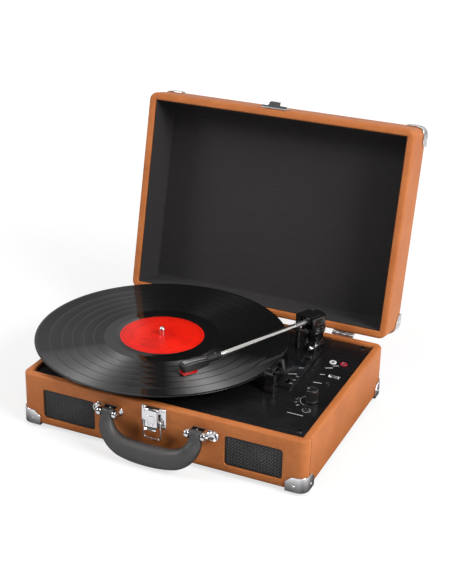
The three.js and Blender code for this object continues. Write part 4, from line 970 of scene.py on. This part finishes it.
def hide_when(o, watched, channel, slope):
    """hides a staged object in renders while slope times a channel of the watched object is above 1"""
    for prop in ("hide_render", "hide_viewport"):
        fc = o.driver_add(prop)
        fc.driver.type = "SUM"
        var = fc.driver.variables.new()
        var.type = "TRANSFORMS"
        var.targets[0].id = watched
        var.targets[0].transform_type = channel
        var.targets[0].transform_space = "WORLD_SPACE"
        for mod in list(fc.modifiers):
            fc.modifiers.remove(mod)
        gen = fc.modifiers.new("GENERATOR")
        gen.mode, gen.poly_order = "POLYNOMIAL", 1
        gen.coefficients = (0.0, slope)


# a lid can't close over a 12-inch record, so the prop is only shown while the lid stands open
for o in (record_disc, record_label, record_ink):
    hide_when(o, bpy.data.objects["body:lid"], "ROT_X", 200.0)

# ------------------------------------------------------------------ tone arm
tower = lathe([(3.1, 68.2), (3.1, 79.8), (3.4, 80.0), (13.4, 80.0)] + arc(13.8, 79.4, 0.6, 90, 0, 3) + [(14.4, 77.9), (14.1, 77.6), (14.1, 77.1), (14.4, 76.8), (14.4, 75.4), (13.9, 74.6), (13.4, 74.0), (12.4, 69.0), (11.2, 63.2), (11.6, 62.5), (12.4, 62.2), (14.2, 62.15)]
              + arc(14.5, 61.7, 0.5, 80, 0, 3) + [(15.0, 61.3), (14.7, 61.05), (0, 61.05), (0, 68.2)], 96)
tower.transform(T(ARM[0], ARM[1], 0))
piece("tonearm_tower", tower, "raised", "base", "tonearm_base", angle=32)
refined("tonearm_gimbal", "raised", 0.45, 3)
refined("tonearm_block", "raised", 0.55, 3)
piece("tonearm_block_plate", rbox(-6.0, 6.0, -12.2, 10.4, 95.5, 96.1, 0.25, 2), "deck", "arm", xf=ARMX)
for sx, at in ((-1, 13.9), (1, 10.6)):
    cap = lathe([(0, 0.7), (1.6, 0.65), (2.5, 0.35), (2.7, 0.0), (2.6, -0.3), (0, -0.3)], 28)
    cap.transform(T(sx * at, 0, ARM_Z) @ Rot(90 * sx, "Y"))
    piece("gimbal_cap_%d" % (sx > 0), cap, "black_steel", "arm_yoke", xf=ARMX)
piece("tonearm_tube_round", rod(2.9, 143.3, 48, 0.3, "Y", (0, -152, 0)), "alu", "arm", "tonearm_tube", TUBE)
col = lathe([(0, 0), (3.0, 0), (3.25, 0.25), (3.25, 17.2), (3.0, 17.5), (0, 17.5)], 40)
col.transform(T(0, -31.2, 0) @ Rot(-90, "X"))
piece("tonearm_sleeve", col, "sleeve", "arm", xf=TUBE)

hs = lathe([(0, 0), (4.4, 0), (4.85, 0.4), (4.9, 2.0), (4.85, 13.4), (4.45, 13.7), (4.45, 14.6), (4.8, 14.9), (4.72, 20.9), (4.3, 21.45), (0, 21.5)], 48)
hs.transform(T(0, -169.3, 0) @ Rot(-90, "X"))
piece("headshell_socket", hs, "satin", "arm", "headshell", TUBE)
prof = [(1.0, 3.5), (-3.5, 4.1), (-12, 4.15), (-20, 4.0), (-26.2, 3.5), (-29.4, 2.3), (-31.0, 0.6), (-31.5, -1.6), (-31.1, -6.0), (-24, -6.5), (-10, -5.6), (1.0, -4.4)]
bm = boolean(prism(prof, -6.7, 6.7, "YZ", 1.1, 4, 24), [rbox(-5.2, 5.2, -29.5, -5, -12, 1.4, 0.3, 1)], "DIFFERENCE")
piece("headshell_shell", bm, "satin", "arm", xf=HEADX)
# painted highlight: a light grey metal strip along the headshell's top stands in for the sheen along its top edge
band = prism([(-1.0, 3.4), (-1.0, 4.0), (-4, 4.45), (-12, 4.5), (-20, 4.35), (-26, 3.85), (-28.6, 2.9), (-28.2, 2.4), (-20, 3.4)], -3.4, 3.4, "YZ", 0.2, 2, 40)
piece("headshell_highlight_band", band, "sleeve", "arm", xf=HEADX)
refined("cartridge", "gloss", 0.5, 3)
refined("stylus", "red", 1.1, 4)
refined("lift_platform", "satin", 0.6, 3)
refined("cue_lever", "chrome", 0.6, 3)
refined("arm_rest_clip", "satin", 0.35, 2)

rx, ry = 93.4, -35.0
top = ARM_Z - 137 * math.tan(rad(DROOP)) - 3.4
rings = []
for z, w, d, r in ((58.85, 14.6, 13.1, 2.2), (59.1, 15.0, 13.5, 2.4), (61.5, 14.9, 13.4, 2.6), (64.0, 14.1, 12.5, 2.9), (66.0, 13.3, 11.4, 3.0), (69.0, 12.9, 10.7, 2.9), (76.0, 12.9, 10.5, 2.7), (top - 0.6, 12.9, 10.5, 2.7), (top - 0.15, 12.5, 10.1, 2.5), (top, 11.9, 9.5, 2.2)):
    rings.append([(x, y, z) for x, y in rrect(w, d, r, rx, ry - 0.25, 6)])
pillar = loft(rings)
post = rbox(rx + 3.5, rx + 6.45, ry - 5.4, ry + 4.9, 70, 88.6, 0.9, 3)
ears = [rbox(rx + 5.5, rx + 11.2, ry + y, ry + y + 1.2, 81.6, 86.4, 0.35, 2) for y in (-5.5, 4.3)]
rest = boolean(merged(pillar, post, *ears), [rod(1.15, 20, 24, 0, "Y", (rx + 9, ry - 10, 84))], "DIFFERENCE")
piece("arm_rest_pillar", rest, "gloss", "base", "arm_rest")

# ------------------------------------------------------------------ floor, light and camera
# the floor is a pale sheet, seen evenly white with only faint shadows, and bouncing no more light than a sheet of card
m = Mat("studio_floor", Roughness=0.95, Specular_IOR_Level=0.1, Emission_Color=(1, 1, 1))
seen = m.add("ShaderNodeLightPath").outputs["Is Camera Ray"]
card = m.mix(m.remap(m.noise(3, 2), 0.3, 0.7, 0, 1), (0.72, 0.72, 0.725), (0.74, 0.74, 0.745))
fx, fy, _ = m.xyz()
# painted shade: for all but camera rays the sheet is painted dark beside the case, so the plating mirrors a dark band
# there and little light comes up from under it
gap = m.math("MAXIMUM", m.math("SUBTRACT", m.math("ABSOLUTE", fx), W / 2000), m.math("SUBTRACT", m.math("ABSOLUTE", fy), D / 2000))
m.set("Base Color", m.mix(seen, m.mix(m.remap(gap, 0.002, 0.060, 0, 1), (0.07, 0.07, 0.072), card), (0.27, 0.27, 0.27)))
away = m.math("SQRT", m.math("ADD", m.math("MULTIPLY", fx, fx), m.math("MULTIPLY", fy, fy)))
m.set("Emission Strength", m.math("MULTIPLY", seen, m.remap(away, 0.3, 2.0, 0.71, 0.95)))
me = bpy.data.meshes.new("floor")
me.from_pydata([(-7, -7, -0.0053), (7, -7, -0.0053), (7, 7, -0.0053), (-7, 7, -0.0053)], [], [(0, 1, 2, 3)])
me.materials.append(m.m)
floor = bpy.data.objects.new("floor", me)
bpy.context.scene.collection.objects.link(floor)

world = bpy.data.worlds.new("studio")
bpy.context.scene.world = world
world.use_nodes = True
# the room is pale behind the player and dim in front of it, so the plated parts have something dark to mirror
wt = world.node_tree
way = wt.nodes.new("ShaderNodeSeparateXYZ")
wt.links.new(wt.nodes.new("ShaderNodeTexCoord").outputs["Generated"], way.inputs[0])
ramp = wt.nodes.new("ShaderNodeMapRange")
ramp.interpolation_type = "SMOOTHSTEP"
wt.links.new(way.outputs[1], ramp.inputs[0])
for i, v in enumerate((-0.5, 0.6, 0.12, 0.7)):
    ramp.inputs[i + 1].default_value = v
wt.links.new(ramp.outputs[0], wt.nodes["Background"].inputs[1])
wt.nodes["Background"].inputs[0].default_value = (1.0, 1.0, 1.0, 1)


def area(name, at, to, size, power, colour=(1, 1, 1)):
    light = bpy.data.lights.new(name, "AREA")
    light.shape, light.size, light.size_y, light.energy, light.color = "RECTANGLE", size[0], size[1], power, colour
    o = bpy.data.objects.new(name, light)
    bpy.context.scene.collection.objects.link(o)
    o.location = at
    o.rotation_euler = (Vector(to) - Vector(at)).to_track_quat("-Z", "Y").to_euler()
    return o


area("key", (1.9, -0.62, 1.4), (0, 0, 0.05), (1.0, 1.0), 58)
area("fill", (-1.6, -0.95, 1.35), (0, 0, 0.05), (0.7, 0.7), 22)
area("top", (0.1, -0.1, 2.2), (0, 0, 0), (1.4, 1.0), 6)

cam = bpy.data.cameras.new("camera")
cam.lens, cam.sensor_width, cam.sensor_fit = 75.77, 36, "AUTO"
cam.clip_start, cam.clip_end = 0.05, 50
co = bpy.data.objects.new("camera", cam)
bpy.context.scene.collection.objects.link(co)
co.matrix_world = Matrix(((0.91016, -0.1886, 0.36883, 0.53553), (0.41365, 0.3659, -0.83369, -1.16303), (0.02229, 0.9114, 0.41101, 0.72380), (0, 0, 0, 1)))
bpy.context.scene.camera = co
# the floor is left out when it is looked at from underneath, so the underside can be seen
hide_when(floor, co, "LOC_Z", -1000.0)
bpy.context.scene.view_settings.view_transform = "Standard"
